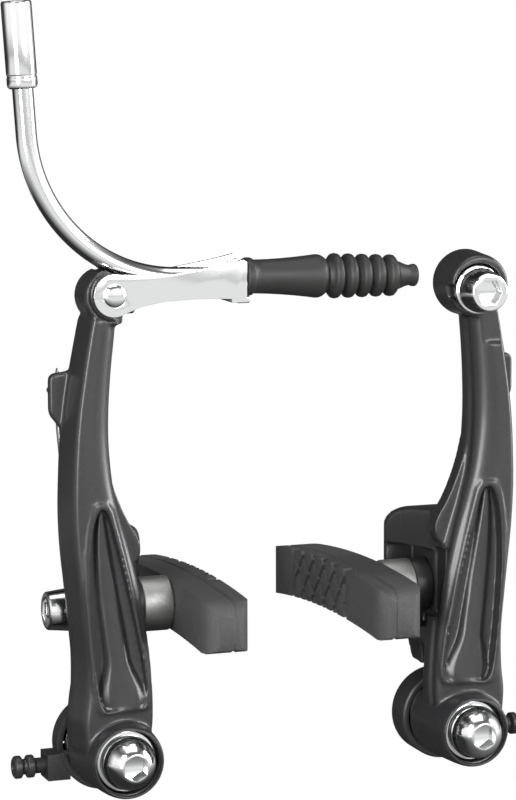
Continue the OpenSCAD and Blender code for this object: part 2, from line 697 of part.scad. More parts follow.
module flat_washer() color(matte_silver) at_stud() lathe_x([
  [hole_r, flat_u], [hole_r, flat_u + flat_t], [washer_r - 0.3, flat_u + flat_t],
  [washer_r - 0.1, flat_u + flat_t - 0.2], [washer_r - 0.1, flat_u + 0.2],
  [washer_r - 0.3, flat_u]]);

module pad_nut() color(chrome_grey) at_stud() difference() {
  lathe_x([
    [0, flat_u], [nut_r - 0.2, flat_u], [nut_r, flat_u - 0.2], [nut_r, flat_u - 2],
    [nut_end_r, nut_u + 0.3], [nut_end_r - 0.3, nut_u], [0, nut_u]]);
  rod_x(stud_r + 0.05, nut_u + 3.2, flat_u + 1);
  hex_x(hex5_r, nut_u - 1, nut_u + 3.3);
}

// Link and noodle
// Outline of one link plate, measured from its pin; rise lifts its upper edge
module link_outline(rise) {
  circle(r = link_end_r, $fn = 64);
  polygon([
    [-0.6, link_end_r - 0.04], [3.4, link_end_r - 0.25], [8, 3.9 + rise * 0.3],
    [13, 4 + rise * 0.8], [18, 4.6 + rise], [24, 5.6 + rise],
    [link_length - 0.8, 6.6 + rise], [link_length, 6.2 + rise],
    [link_length, -1.2], [link_length - 0.6, -1.7], [24, -1.5], [18.5, -1.3],
    [11, -1.6], [6, -2.5], [2.2, -3.93], [0, -link_end_r]]);
}

module link() color(chrome_grey) {
  difference() {
    union() {
      translate([pin_x, 0, pin_z]) {
        plate_y(link_front, link_front + sheet_t) link_outline(0);
        plate_y(link_back - sheet_t, link_back) link_outline(0.8);
      }
      translate([nose_x - sheet_t, link_front, pin_z - 1.5])
        cube([sheet_t, link_back - link_front, 7.6]);
      translate([nose_x - 3.4, link_front, pin_z - 2.4])
        cube([3.4, link_back - link_front, 1.1]);
    }
    translate([pin_x, 0, pin_z]) rod_y(pin_r + 0.02, link_front - 2, link_back + 2);
    at_nose() rod_x(stub_r + 0.15, -sheet_t - 1, 1);
    at_nose() translate([-sheet_t - 1, -stub_r + 0.2, 0])
      cube([sheet_t + 2, 2 * stub_r - 0.4, 8]);
  }
}

module link_pin() color(chrome_grey) translate([pin_x, 0, pin_z]) lathe_y(concat(
  [[0, link_front - 1.1]],
  [for (a = [75:-15:0]) [pin_head_r * cos(a), link_front - 1.1 * sin(a)]],
  [[pin_r, link_front], [pin_r, link_back], [pin_head_r, link_back],
    [pin_head_r, link_back + 0.5], [pin_head_r - 0.5, link_back + 0.9],
    [0, link_back + 0.9]]));

// The noodle lies along a straight, a bend and a rise, seen from the nose backwards
module noodle_line() at_nose() translate([-run, 0, 0]) children();
module bend_tube(r, bore = 0, angle = bend_angle)
  translate([0, 0, bend_r]) rotate([90, 0, 0]) rotate([0, 0, -90])
    rotate([0, 0, -angle]) rotate_extrude(angle = angle, $fn = 144)
      translate([bend_r, 0]) difference() {
        circle(r = r, $fn = 40);
        if (bore > 0) circle(r = bore, $fn = 32);
      }
// Frame at the upper end of the bend, +X pointing along the tube to the ferrule
module at_rise() noodle_line() translate([0, 0, bend_r])
  rotate([0, bend_angle, 0]) translate([0, 0, -bend_r]) rotate([0, 180, 0]) children();

module straight_tube(r, bore, b) lathe_x([
  [bore - lap_wall, -lap], [r + lap_wall, -lap], [r + lap_wall, b], [bore - lap_wall, b]]);

module noodle_tube() color(chrome_grey) {
  noodle_line() straight_tube(tube_r, tube_bore_r, run - sheet_t - 0.1);
  noodle_line() bend_tube(tube_r, tube_bore_r);
  at_rise() straight_tube(tube_r, tube_bore_r, tube_rise);
}

module noodle_ferrule() color(chrome_grey) at_rise() translate([ferrule_foot, 0, 0]) lathe_x([
  [tube_r + 0.02, 0], [ferrule_r - 0.5, 0], [ferrule_r, 0.7],
  [ferrule_r, ferrule_length - 0.2], [ferrule_r - 0.2, ferrule_length],
  [socket_r + 0.15, ferrule_length], [socket_r, ferrule_length - 0.15],
  [socket_r, ferrule_length - socket_depth], [tube_bore_r, ferrule_length - socket_depth],
  [tube_bore_r, 6.05], [tube_r + 0.02, 6.05]]);

// Turned tip inside the link's nose, with a stub through its slot
module noodle_tip() color(brass) at_nose() lathe_x([
  [tube_bore_r, -sheet_t - 0.1], [tube_bore_r, 3.2], [stub_r - 0.3, 3.2],
  [stub_r, 2.9], [stub_r, -sheet_t - 0.1]]);

module noodle_liner() color([0.85, 0.85, 0.8]) {
  bore = tube_bore_r - 0.1 - liner_wall;
  noodle_line() straight_tube(tube_bore_r - 0.1, bore, run + 6);
  noodle_line() bend_tube(tube_bore_r - 0.1, bore);
  at_rise() straight_tube(tube_bore_r - 0.1, bore, tube_rise);
}

// Boot
module boot() {
  collar_l = 2.3;
  barrel_end = 18.4;
  start = barrel_end + bellow_pitch * 0.85;
  last = start + bellow_pitch * (bellows - 1);
  w = boot_wall;
  outer = concat(
    [[3.7, 0.3], [4.1, 0.7], [4.1, 1.8], [3.9, collar_l], [3.6, collar_l + 0.1],
      [3.7, 5], [3.95, 9], [4.3, 13], [4.7, 16.5], [4.6, 17.6], [4.2, barrel_end],
      [bellow_valley, barrel_end + 0.6]],
    [for (i = [0:bellows - 1], q = [[-0.32, 0.72], [-0.12, 1], [0.12, 1], [0.32, 0.72], [0.5, 0]])
      [mix(bellow_valley, bellow_peak, q[1] * (1 - i * 0.02)) - i * 0.06,
        start + bellow_pitch * (i + q[0])]],
    [[2.9, last + 2.4], [2.3, last + 4], [1.95, boot_length - 2.2], [2.3, boot_length - 1.4],
      [2.45, boot_length - 0.7], [2.3, boot_length]]);
  inner = concat(
    [[1.3, boot_length], [1.1, boot_length - 2], [1.25, last + 4], [1.9, last + 2]],
    [for (i = [bellows - 1:-1:0], q = [[0.42, 0], [0.14, 0.85], [-0.14, 0.85], [-0.42, 0]])
      [mix(bellow_valley, bellow_peak, q[1] * (1 - i * 0.02)) - i * 0.06 - w,
        start + bellow_pitch * (i + q[0])]],
    [[4.5 - w - 0.2, barrel_end - 2], [4.3 - w - 0.2, 13], [3.5 - w, 5],
      [stub_r + 0.05, 4.2], [stub_r + 0.05, 0.3]]);
  color(dark_plastic) at_nose() lathe_x(concat(outer, inner));
}

// Cable anchor
module anchor_washer() color(chrome_grey) right_side() at_anchor() lathe_y([
  [anchor_bolt_r + 0.15, anchor_seat], [anchor_bolt_r + 0.15, anchor_seat - anchor_washer_t],
  [anchor_washer_r - 0.3, anchor_seat - anchor_washer_t],
  [anchor_washer_r, anchor_seat - anchor_washer_t + 0.3],
  [anchor_washer_r, anchor_seat - 0.3], [anchor_washer_r - 0.3, anchor_seat]]);

module anchor_bolt() color(chrome_grey) right_side() at_anchor() difference() {
  seat = anchor_seat - anchor_washer_t;
  face = seat - anchor_head_h;
  lathe_y([
    [0, anchor_seat + 10.4], [anchor_bolt_r - 0.4, anchor_seat + 10.4],
    [anchor_bolt_r, anchor_seat + 10], [anchor_bolt_r, seat], [anchor_head_r - 0.2, seat],
    [anchor_head_r, seat - 0.2], [anchor_head_r, seat - 1.2],
    [anchor_face_r + 0.25, face + 0.3], [anchor_face_r, face], [0, face]]);
  hex_y(hex5_r, face - 1, face + 3.4);
}

left_arm();
right_arm();
left_side() bush();  // left_bush
right_side() bush();  // right_bush
left_side() spring_cap();  // left_spring_cap
right_side() spring_cap();  // right_spring_cap
left_side() spring();  // left_spring
right_side() spring();  // right_spring
left_side() tension_screw();  // left_tension_screw
right_side() tension_screw();  // right_tension_screw
left_side() pivot_bolt();  // left_pivot_bolt
right_side() pivot_bolt();  // right_pivot_bolt
left_side() bolt_washer();  // left_bolt_washer
right_side() bolt_washer();  // right_bolt_washer
left_side() pad();  // left_pad
right_side() pad();  // right_pad
left_side() pad_stud();  // left_pad_stud
right_side() pad_stud();  // right_pad_stud
left_side() inner_dome();  // left_inner_dome
right_side() inner_dome();  // right_inner_dome
left_side() inner_cup();  // left_inner_cup
right_side() inner_cup();  // right_inner_cup
left_side() outer_cup();  // left_outer_cup
right_side() outer_cup();  // right_outer_cup
left_side() outer_dome();  // left_outer_dome
right_side() outer_dome();  // right_outer_dome
left_side() flat_washer();  // left_flat_washer
right_side() flat_washer();  // right_flat_washer
left_side() pad_nut();  // left_pad_nut
right_side() pad_nut();  // right_pad_nut
link();
link_pin();
noodle_tube();
noodle_ferrule();
noodle_tip();
noodle_liner();
boot();
anchor_bolt();
anchor_washer();
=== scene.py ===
"""Dresses a linear-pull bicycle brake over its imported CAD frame.

Sizes inside the shape functions are millimetres in the frame's own axes:
the pivots lie along Y, the arms rise along Z, and the wheel's plane is X = 0.
"""
import json
import math

import bmesh
import bpy
from bpy.props import (
    FloatProperty,
    FloatVectorProperty,
    IntProperty,
    PointerProperty,
)
from mathutils import Matrix, Vector

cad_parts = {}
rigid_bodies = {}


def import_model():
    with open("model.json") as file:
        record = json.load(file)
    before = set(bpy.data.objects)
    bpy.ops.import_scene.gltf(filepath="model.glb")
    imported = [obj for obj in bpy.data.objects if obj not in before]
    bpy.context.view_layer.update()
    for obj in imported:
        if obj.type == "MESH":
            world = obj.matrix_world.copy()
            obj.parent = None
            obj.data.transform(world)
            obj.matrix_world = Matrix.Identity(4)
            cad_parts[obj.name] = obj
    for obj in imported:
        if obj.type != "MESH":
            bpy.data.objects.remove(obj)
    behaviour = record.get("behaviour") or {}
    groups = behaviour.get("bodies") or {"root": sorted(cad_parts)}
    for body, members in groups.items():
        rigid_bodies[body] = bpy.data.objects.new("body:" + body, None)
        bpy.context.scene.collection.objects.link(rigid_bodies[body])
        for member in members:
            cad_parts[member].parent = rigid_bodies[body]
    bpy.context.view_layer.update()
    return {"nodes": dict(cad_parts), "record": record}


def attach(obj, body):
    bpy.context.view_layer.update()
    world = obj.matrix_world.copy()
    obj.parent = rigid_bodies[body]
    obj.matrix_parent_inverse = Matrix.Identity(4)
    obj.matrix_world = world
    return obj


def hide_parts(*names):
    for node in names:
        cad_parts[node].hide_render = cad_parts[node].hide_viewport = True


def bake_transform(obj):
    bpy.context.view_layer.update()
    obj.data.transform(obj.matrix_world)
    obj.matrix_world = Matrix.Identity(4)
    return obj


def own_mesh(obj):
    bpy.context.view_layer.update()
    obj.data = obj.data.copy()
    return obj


bl_info = {
    "name": "Linear-pull brake dressing",
    "version": (1, 0, 0),
    "blender": (4, 5, 0),
    "location": "View3D > Sidebar > Brake",
    "description": "Cast arms, chrome hardware, pads and boot over the CAD frame",
    "category": "Object",
}

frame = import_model()
HOME = {n: b for b, ns in frame["record"]["behaviour"]["bodies"].items() for n in ns}
MM = 0.001
SIDES = {"left": -1, "right": 1}
PIVOT_X = 40
TO_LEFT = Matrix.Translation((-PIVOT_X * MM, 0, 0))
MIRROR_X = Matrix.Scale(-1, 4, (1, 0, 0))


# Sizes and colours

class ArmSettings(bpy.types.PropertyGroup):
    grid: FloatProperty(
        name="Casting grid", description="Cell of the remesh that rounds the castings",
        default=0.36, min=0.3, max=1.0)
    rounds: IntProperty(
        name="Smoothing rounds", description="How softly the casting's edges are worn",
        default=6, min=0, max=30)
    groove: FloatProperty(
        name="Recess depth", description="Depth of the front recess in millimetres",
        default=2.6, min=0.5, max=3.2)
    paint: FloatVectorProperty(
        name="Paint", description="Colour of the satin black paint",
        default=(0.016, 0.016, 0.017), subtype="COLOR", min=0, max=1)
    gloss: FloatProperty(
        name="Paint roughness", description="Roughness of the satin paint",
        default=0.34, min=0, max=1, subtype="FACTOR")


class MetalSettings(bpy.types.PropertyGroup):
    chrome: FloatVectorProperty(
        name="Chrome", description="Colour of the polished parts",
        default=(0.86, 0.865, 0.87), subtype="COLOR", min=0, max=1)
    chrome_rough: FloatProperty(
        name="Chrome roughness", description="Roughness of the polished parts",
        default=0.12, min=0, max=1, subtype="FACTOR")
    spacer: FloatVectorProperty(
        name="Spacer", description="Colour of the blasted aluminium washers",
        default=(0.42, 0.42, 0.41), subtype="COLOR", min=0, max=1)
    steel: FloatVectorProperty(
        name="Steel", description="Colour of the plain steel parts",
        default=(0.3, 0.3, 0.31), subtype="COLOR", min=0, max=1)
    edge: FloatProperty(
        name="Broken edge", description="Width of the bevel on turned parts in millimetres",
        default=0.16, min=0.02, max=0.4)


class RubberSettings(bpy.types.PropertyGroup):
    pad: FloatVectorProperty(
        name="Pad rubber", description="Colour of the brake pads",
        default=(0.036, 0.036, 0.037), subtype="COLOR", min=0, max=1)
    boot: FloatVectorProperty(
        name="Boot rubber", description="Colour of the boot",
        default=(0.013, 0.013, 0.0125), subtype="COLOR", min=0, max=1)
    seam: FloatProperty(
        name="Seam depth", description="Depth of the seam round each pad in millimetres",
        default=0.35, min=0, max=0.8)


class StageSettings(bpy.types.PropertyGroup):
    lamp: FloatProperty(
        name="Lamp level", description="Share of the studio lamps' plain level",
        default=1.0, min=0, max=4, subtype="FACTOR")
    lens: FloatProperty(
        name="Lens", description="Focal length of the camera in millimetres",
        default=126.07, min=20, max=400)


# Selecting, joining and finishing

def alone(obj):
    """Only this object is selected and active."""
    for o in list(bpy.context.selected_objects):
        o.select_set(False)
    obj.hide_set(False)
    obj.select_set(True)
    bpy.context.view_layer.objects.active = obj
    return obj


def shape_from(name, points, edges=(), faces=()):
    """A mesh object from points in millimetres."""
    mesh = bpy.data.meshes.new(name)
    mesh.from_pydata([Vector(p) * MM for p in points], list(edges), list(faces))
    obj = bpy.data.objects.new(name, mesh)
    bpy.context.scene.collection.objects.link(obj)
    return alone(obj)


def edited(obj, *steps):
    """Runs operators with their values on the whole mesh, in edit mode."""
    alone(obj)
    bpy.ops.object.mode_set(mode="EDIT")
    bpy.ops.mesh.select_all(action="SELECT")
    for operator, values in steps:
        operator(**values)
    bpy.ops.object.mode_set(mode="OBJECT")
    return obj


def outward(obj):
    """Merges doubled points and turns the faces outward."""
    return edited(obj, (bpy.ops.mesh.remove_doubles, {"threshold": 1e-6}),
                  (bpy.ops.mesh.normals_make_consistent, {"inside": False}))


def spun(name, profile, along="Y", centre=(0, 0, 0), steps=96):
    """A turned part: (radius, place) points spun about a line along X or Y."""
    cx, cy, cz = centre
    if along == "Y":
        points = [(cx + r, y, cz) for r, y in profile]
        middle, axis = (cx, 0, cz), (0, 1, 0)
    else:
        points = [(x, cy, cz + r) for r, x in profile]
        middle, axis = (0, cy, cz), (1, 0, 0)
    n = len(points)
    closed = profile[0][0] > 1e-6 and profile[-1][0] > 1e-6
    edges = [(i, i + 1) for i in range(n - 1)] + ([(n - 1, 0)] if closed else [])
    turn = {"steps": steps, "angle": 2 * math.pi, "center": Vector(middle) * MM,
            "axis": axis}
    return outward(edited(shape_from(name, points, edges), (bpy.ops.mesh.spin, turn)))


def prism(name, outline, plane, a, b):
    """A closed outline extruded from place a to place b across its plane."""
    put = {"XZ": lambda p, t: (p[0], t, p[1]), "YZ": lambda p, t: (t, p[0], p[1]),
           "XY": lambda p, t: (p[0], p[1], t)}[plane]
    shift = {"TRANSFORM_OT_translate": {"value": Vector(put((0, 0), b - a)) * MM}}
    obj = shape_from(name, [put(p, a) for p in outline], (), [tuple(range(len(outline)))])
    return outward(edited(obj, (bpy.ops.mesh.extrude_region_move, shift)))


def loft(name, rings):
    """A closed skin over rings that have the same number of points."""
    m, last = len(rings[0]), len(rings) - 1
    faces = [tuple(range(m)), tuple(reversed([last * m + k for k in range(m)]))]
    faces += [(i * m + k, (i + 1) * m + k, (i + 1) * m + (k + 1) % m, i * m + (k + 1) % m)
              for i in range(last) for k in range(m)]
    return outward(shape_from(name, [p for ring in rings for p in ring], (), faces))


def block(name, low, high):
    """A cube primitive fitted between two corners."""
    bpy.ops.object.select_all(action="DESELECT")
    low, high = Vector(low) * MM, Vector(high) * MM
    bpy.ops.mesh.primitive_cube_add(size=1, location=(low + high) / 2)
    obj = bpy.context.object
    obj.name = name
    obj.scale = high - low
    bpy.ops.object.transform_apply(location=True, rotation=True, scale=True)
    return obj


def rod(name, radius, a, b, along, centre, sides=64):
    """A cylinder or hexagon primitive from place a to place b."""
    bpy.ops.object.select_all(action="DESELECT")
    mid = Vector(centre)
    mid[0 if along == "X" else 1] = (a + b) / 2
    turn = (0, math.pi / 2, 0) if along == "X" else (math.pi / 2, 0, 0)
    bpy.ops.mesh.primitive_cylinder_add(
        vertices=sides, radius=radius * MM, depth=abs(b - a) * MM,
        location=mid * MM, rotation=turn)
    bpy.context.object.name = name
    bpy.ops.object.transform_apply(location=True, rotation=True, scale=True)
    return bpy.context.object


def applied(obj, kind, **values):
    """Adds a modifier with these values and applies it."""
    alone(obj)
    m = obj.modifiers.new(kind.lower(), kind)
    for key, value in values.items():
        setattr(m, key, value)
    bpy.ops.object.modifier_apply(modifier=m.name)
    return obj


def combined(obj, other, operation):
    """Boolean with another piece, which is used up."""
    applied(obj, "BOOLEAN", object=other, operation=operation, solver="EXACT")
    bpy.data.objects.remove(other)
    return obj


def joined(obj, *others):
    for other in others:
        combined(obj, other, "UNION")
    return obj


def carved(obj, *others):
    for other in others:
        combined(obj, other, "DIFFERENCE")
    return obj


def broken(obj, width, segments=2, angle=32):
    """Bevels the edges that are sharper than the angle."""
    return applied(
        obj, "BEVEL", width=width * MM, segments=segments, limit_method="ANGLE",
        angle_limit=math.radians(angle))


def shaded(obj, angle=40):
    alone(obj)
    bpy.ops.object.shade_smooth_by_angle(angle=math.radians(angle))
    return obj


def mirrored(obj, name):
    """A copy with its own mesh for the other side of the wheel."""
    other = obj.copy()
    other.data = obj.data.copy()
    other.name = other.data.name = name
    bpy.context.scene.collection.objects.link(other)
    other.data.transform(MIRROR_X)
    other.data.flip_normals()
    return other


def node_copy(node, name):
    """The CAD node's shape as a clean closed mesh of its own."""
    source = frame["nodes"][node]
    obj = bpy.data.objects.new(name, source.data.copy())
    bpy.context.scene.collection.objects.link(obj)
    obj.data.materials.clear()
    alone(obj)
    bpy.ops.mesh.customdata_custom_splitnormals_clear()
    return edited(obj, (bpy.ops.mesh.remove_doubles, {"threshold": 2e-6}),
                  (bpy.ops.mesh.dissolve_limited, {"angle_limit": math.radians(0.6)}))


def adopt(obj, nodes, material):
    """The piece takes over its CAD nodes' place, body and finish."""
    nodes = [nodes] if isinstance(nodes, str) else nodes
    obj.data.materials.clear()
    obj.data.materials.append(finish_of(material))
    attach(obj, HOME[nodes[0]])
    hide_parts(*nodes)
    return obj


def swept(name, points, radius, resolution, caps=True):
    """A round bar along points given in metres."""
    curve = bpy.data.curves.new(name, "CURVE")
    curve.dimensions = "3D"
    line = curve.splines.new("POLY")
    line.points.add(len(points) - 1)
    for p, co in zip(line.points, points):
        p.co = (*co, 1)
    curve.bevel_depth = radius * MM
    curve.bevel_resolution = resolution
    curve.use_fill_caps = caps
    obj = bpy.data.objects.new(name, curve)
    bpy.context.scene.collection.objects.link(obj)
    alone(obj)
    bpy.ops.object.convert(target="MESH")
    return outward(bpy.context.object)


def both_sides(obj, part, material):
    """Fits a left piece and its mirrored copy to the two CAD nodes of a part."""
    other = mirrored(obj, "right_" + part + "_piece")
    obj.name = obj.data.name = "left_" + part + "_piece"
    for side, piece in (("left", obj), ("right", other)):
        adopt(piece, side + "_" + part, material)


# Finishes

# Places of the colour sockets on a Mix node
MIX_A, MIX_B, MIX_OUT = 6, 7, 2


def math_node(tree, operation, second=None, clamp=False):
    node = tree.nodes.new("ShaderNodeMath")
    node.operation, node.use_clamp = operation, clamp
    if second is not None:
        node.inputs[1].default_value = second
    return node


def filled(node, values):
    """Sets the node's input sockets."""
    for slot, value in values.items():
        node.inputs[slot].default_value = value
    return node


def range_node(tree, *values):
    """Maps values from one range to another."""
    slots = ("From Min", "From Max", "To Min", "To Max")
    return filled(tree.nodes.new("ShaderNodeMapRange"), dict(zip(slots, values)))


def colour_mix(tree):
    node = tree.nodes.new("ShaderNodeMix")
    node.data_type = "RGBA"
    return node


def wired(tree, *wires):
    """Links given as one node and its output, then another node and its input."""
    for node, output, other, slot in wires:
        tree.links.new(node.outputs[output], other.inputs[slot])


def group_tree(name, inputs, outputs):
    """An empty node group with its sockets, its entry and its exit."""
    tree = bpy.data.node_groups.new(name, "ShaderNodeTree")
    for label, kind, value in inputs:
        s = tree.interface.new_socket(label, in_out="INPUT", socket_type=kind)
        if value is not None:
            s.default_value = value
    for label, kind in outputs:
        tree.interface.new_socket(label, in_out="OUTPUT", socket_type=kind)
    return tree, tree.nodes.new("NodeGroupInput"), tree.nodes.new("NodeGroupOutput")


def grain_group():
    """Fine grain of paint, rubber or blasted metal, as a height and a speckle mask."""
    if "surface_grain" in bpy.data.node_groups:
        return bpy.data.node_groups["surface_grain"]
    tree, entry, leave = group_tree(
        "surface_grain",
        [("Grain Size", "NodeSocketFloat", 2500.0), ("Speckle Cut", "NodeSocketFloat", 0.6)],
        [("Height", "NodeSocketFloat"), ("Speckle", "NodeSocketFloat")])
    place = tree.nodes.new("ShaderNodeTexCoord")
    noise = tree.nodes.new("ShaderNodeTexNoise")
    noise.inputs["Detail"].default_value = 3.0
    cut = math_node(tree, "SUBTRACT")
    gain = math_node(tree, "MULTIPLY", 9.0, clamp=True)
    wired(tree, (place, "Object", noise, "Vector"), (entry, "Grain Size", noise, "Scale"),
          (noise, "Fac", leave, "Height"), (noise, "Fac", cut, 0),
          (entry, "Speckle Cut", cut, 1), (cut, 0, gain, 0), (gain, 0, leave, "Speckle"))
    return tree


def wear_group():
    """Slow changes of colour and roughness from handling."""
    if "handling_wear" in bpy.data.node_groups:
        return bpy.data.node_groups["handling_wear"]
    tree, entry, leave = group_tree(
        "handling_wear",
        [("Colour", "NodeSocketColor", (0.5, 0.5, 0.5, 1)),
         ("Worn Colour", "NodeSocketColor", (0.5, 0.5, 0.5, 1)),
         ("Roughness", "NodeSocketFloat", 0.3), ("Spread", "NodeSocketFloat", 0.05),
         ("Patch Size", "NodeSocketFloat", 120.0)],
        [("Colour", "NodeSocketColor"), ("Roughness", "NodeSocketFloat")])
    place = tree.nodes.new("ShaderNodeTexCoord")
    noise = tree.nodes.new("ShaderNodeTexNoise")
    noise.inputs["Detail"].default_value = 4.0
    mix = colour_mix(tree)
    centre = math_node(tree, "SUBTRACT", 0.5)
    scaled = math_node(tree, "MULTIPLY")
    total = math_node(tree, "ADD", clamp=True)
    wired(tree, (place, "Object", noise, "Vector"), (entry, "Patch Size", noise, "Scale"),
          (noise, "Fac", mix, "Factor"), (entry, "Colour", mix, MIX_A),
          (entry, "Worn Colour", mix, MIX_B), (mix, MIX_OUT, leave, "Colour"),
          (noise, "Fac", centre, 0), (centre, 0, scaled, 0), (entry, "Spread", scaled, 1),
          (scaled, 0, total, 0), (entry, "Roughness", total, 1),
          (total, 0, leave, "Roughness"))
    return tree


def surface(name, colour, worn, rough, spread, bump, patch=150, grain=3000, cut=0.7,
            depth=0.03, metal=0.0, coat=0.0, coat_rough=0.1, speckle=None, specular=0.5):
    """A finish: worn colour and roughness, with grain in its bump and a speckle."""
    mat = bpy.data.materials.new(name)
    mat.use_nodes = True
    tree = mat.node_tree
    nodes = tree.nodes
    shader = filled(nodes["Principled BSDF"], {
        "Metallic": metal, "Coat Weight": coat, "Coat Roughness": coat_rough,
        "Specular IOR Level": specular})
    wear, fine = nodes.new("ShaderNodeGroup"), nodes.new("ShaderNodeGroup")
    wear.node_tree, fine.node_tree = wear_group(), grain_group()
    filled(wear, {"Colour": (*colour, 1), "Worn Colour": (*worn, 1), "Roughness": rough,
                  "Spread": spread, "Patch Size": patch})
    filled(fine, {"Grain Size": grain, "Speckle Cut": cut})
    relief = filled(nodes.new("ShaderNodeBump"), {"Strength": bump, "Distance": depth * MM})
    wired(tree, (fine, "Height", relief, "Height"), (relief, "Normal", shader, "Normal"),
          (wear, "Roughness", shader, "Roughness"))
    if speckle is None:
        wired(tree, (wear, "Colour", shader, "Base Color"))
    else:
        mix = filled(colour_mix(tree), {MIX_B: (*speckle, 1)})
        wired(tree, (fine, "Speckle", mix, "Factor"), (wear, "Colour", mix, MIX_A),
              (mix, MIX_OUT, shader, "Base Color"))
    return mat


def lift(colour, by):
    """The colour made lighter or darker by a factor."""
    return tuple(min(1.0, c * by) for c in colour)


def finish_of(name):
    """The named finish, made when it is first asked for."""
    if name in bpy.data.materials:
        return bpy.data.materials[name]
    scene = bpy.context.scene
    arm, metal, rubber = scene.brake_arm, scene.brake_metal, scene.brake_rubber
    paint, chrome, spacer = tuple(arm.paint), tuple(metal.chrome), tuple(metal.spacer)
    steel, pad, boot = tuple(metal.steel), tuple(rubber.pad), tuple(rubber.boot)
    looks = {
        "arm_paint_satin": dict(
            colour=paint, worn=lift(paint, 1.35), rough=arm.gloss, spread=0.08, patch=60,
            grain=4200, cut=0.6, bump=0.12, depth=0.06, coat=0.25, coat_rough=0.18,
            speckle=lift(paint, 2.6), specular=0.42),
        "chrome_polished": dict(
            colour=chrome, worn=lift(chrome, 0.94), rough=metal.chrome_rough, spread=0.06,
            patch=90, grain=900, bump=0.02, depth=0.02, metal=1.0),
        "steel_plain": dict(
            colour=steel, worn=lift(steel, 0.8), rough=0.34, spread=0.12, patch=140,
            bump=0.08, metal=1.0),
        "spacer_blasted": dict(
            colour=spacer, worn=lift(spacer, 0.9), rough=0.46, spread=0.08, patch=100,
            grain=4600, cut=0.56, bump=0.5, depth=0.09, metal=1.0,
            speckle=lift(spacer, 0.62)),
        "cup_grey": dict(
            colour=lift(steel, 0.14), worn=lift(steel, 0.1), rough=0.4, spread=0.08,
            patch=120, grain=4000, cut=0.6, bump=0.2, depth=0.04, metal=0.6),
        "plastic_black": dict(
            colour=(0.016, 0.016, 0.017), worn=(0.026, 0.026, 0.027), rough=0.38,
            spread=0.12, grain=3600, cut=0.62, bump=0.14, depth=0.05),
        "liner_white": dict(
            colour=(0.7, 0.7, 0.66), worn=(0.62, 0.62, 0.58), rough=0.5, spread=0.1,
            bump=0.05),
        "brass_turned": dict(
            colour=(0.5, 0.38, 0.16), worn=(0.42, 0.32, 0.14), rough=0.3, spread=0.1,
            bump=0.06, metal=1.0),
        "pad_rubber_matte": dict(
            colour=pad, worn=lift(pad, 1.4), rough=0.62, spread=0.14, patch=110,
            grain=3800, cut=0.6, bump=0.55, depth=0.12, speckle=lift(pad, 2.6),
            specular=0.4),
        "boot_rubber_matte": dict(
            colour=boot, worn=lift(boot, 1.3), rough=0.5, spread=0.12, patch=130,
            grain=4200, cut=0.6, bump=0.32, depth=0.08, speckle=lift(boot, 1.9),
            specular=0.45),
    }
    return surface(name, **looks[name])


# The cast arms

# Rows of the blade: share of the height, outer edge, inner edge, share of the depth
ARM_ROWS = [
    (0.02, -8.3, 7.2, 0.92), (0.08, -8.7, 7.8, 0.9), (0.14, -8.1, 7.7, 0.88),
    (0.22, -8.0, 7.1, 0.88), (0.30, -8.7, 6.0, 0.88), (0.38, -9.5, 4.6, 0.9),
    (0.45, -10.2, 2.9, 0.94), (0.52, -10.6, 0.9, 0.98), (0.59, -10.6, -0.8, 1.0),
    (0.68, -10.2, -1.7, 1.02), (0.76, -9.4, -1.7, 1.0), (0.84, -8.2, -1.2, 0.96),
    (0.91, -7.0, -0.5, 0.92), (0.95, -6.2, -0.2, 0.92)]
# Rows of the recess: share of the height, outer edge, inner edge
RECESS_ROWS = [
    (0.108, -4.0, 4.8), (0.125, -5.0, 5.5), (0.16, -5.7, 5.4), (0.22, -6.4, 4.5),
    (0.30, -7.0, 2.9), (0.38, -7.3, 1.1), (0.45, -7.1, -0.6), (0.50, -6.5, -1.9),
    (0.53, -5.7, -2.8), (0.545, -4.8, -3.8)]
# Section of the arm: share across from the outer edge, share of depth from the front
ARM_SECTION = [
    (0.06, 1.0), (-0.09, 0.94), (-0.11, 0.7), (-0.03, 0.3), (0.01, 0.09), (0.07, 0.01),
    (0.26, -0.01), (0.46, 0.0), (0.66, 0.05), (0.82, 0.12), (0.94, 0.21), (0.985, 0.33),
    (0.93, 0.42), (0.93, 0.52), (1.0, 0.58), (1.01, 0.72), (1.0, 0.92), (0.88, 1.0),
    (0.5, 1.01)]
ARM_TALL = 99.4
RECESS_LOW = RECESS_ROWS[0][0] * ARM_TALL
RECESS_LONG = RECESS_ROWS[-1][0] * ARM_TALL - RECESS_LOW
# Front face, full depth and rear face of the blade near the pad mount
FACE = -22.5
DEPTH = 10.8
BACK_LOW = FACE + DEPTH - 1.3
# Sides of the mount's web and rear wall, and the wall's front and back
WEB_IN, WEB_OUT, WALL_IN = 4.2, 0.6, 11.0
POCKET_Y, WALL_Y = 0.4, 2.6
# Pad stud, and half the height of the pocket that it stands in
STUD_Y, STUD_Z = -6.0, 30.0
POCKET_HALF = 8.8
# Link pin, and how far the link swings down from it
PIN = (-1.3, 99.4)
LINK_SWING = 40
# Inner face of the link's front plate, half the gap between its plates, and the
# rear end of the room cut for them
PLATE_IN, LINK_HALF, HEAD_BACK = FACE + 1.2, 2.6, -5


def row_at(rows, s):
    """The row at place s on a smooth curve through all rows."""
    n = len(rows)
    i = min(int(s), n - 2)
    t = s - i
    a, b, c, d = (rows[max(i - 1, 0)], rows[i], rows[i + 1], rows[min(i + 2, n - 1)])
    return [0.5 * (2 * q + (r - p) * t + (2 * p - 5 * q + 4 * r - w) * t * t
                   + (3 * q - p - 3 * r + w) * t ** 3) for p, q, r, w in zip(a, b, c, d)]


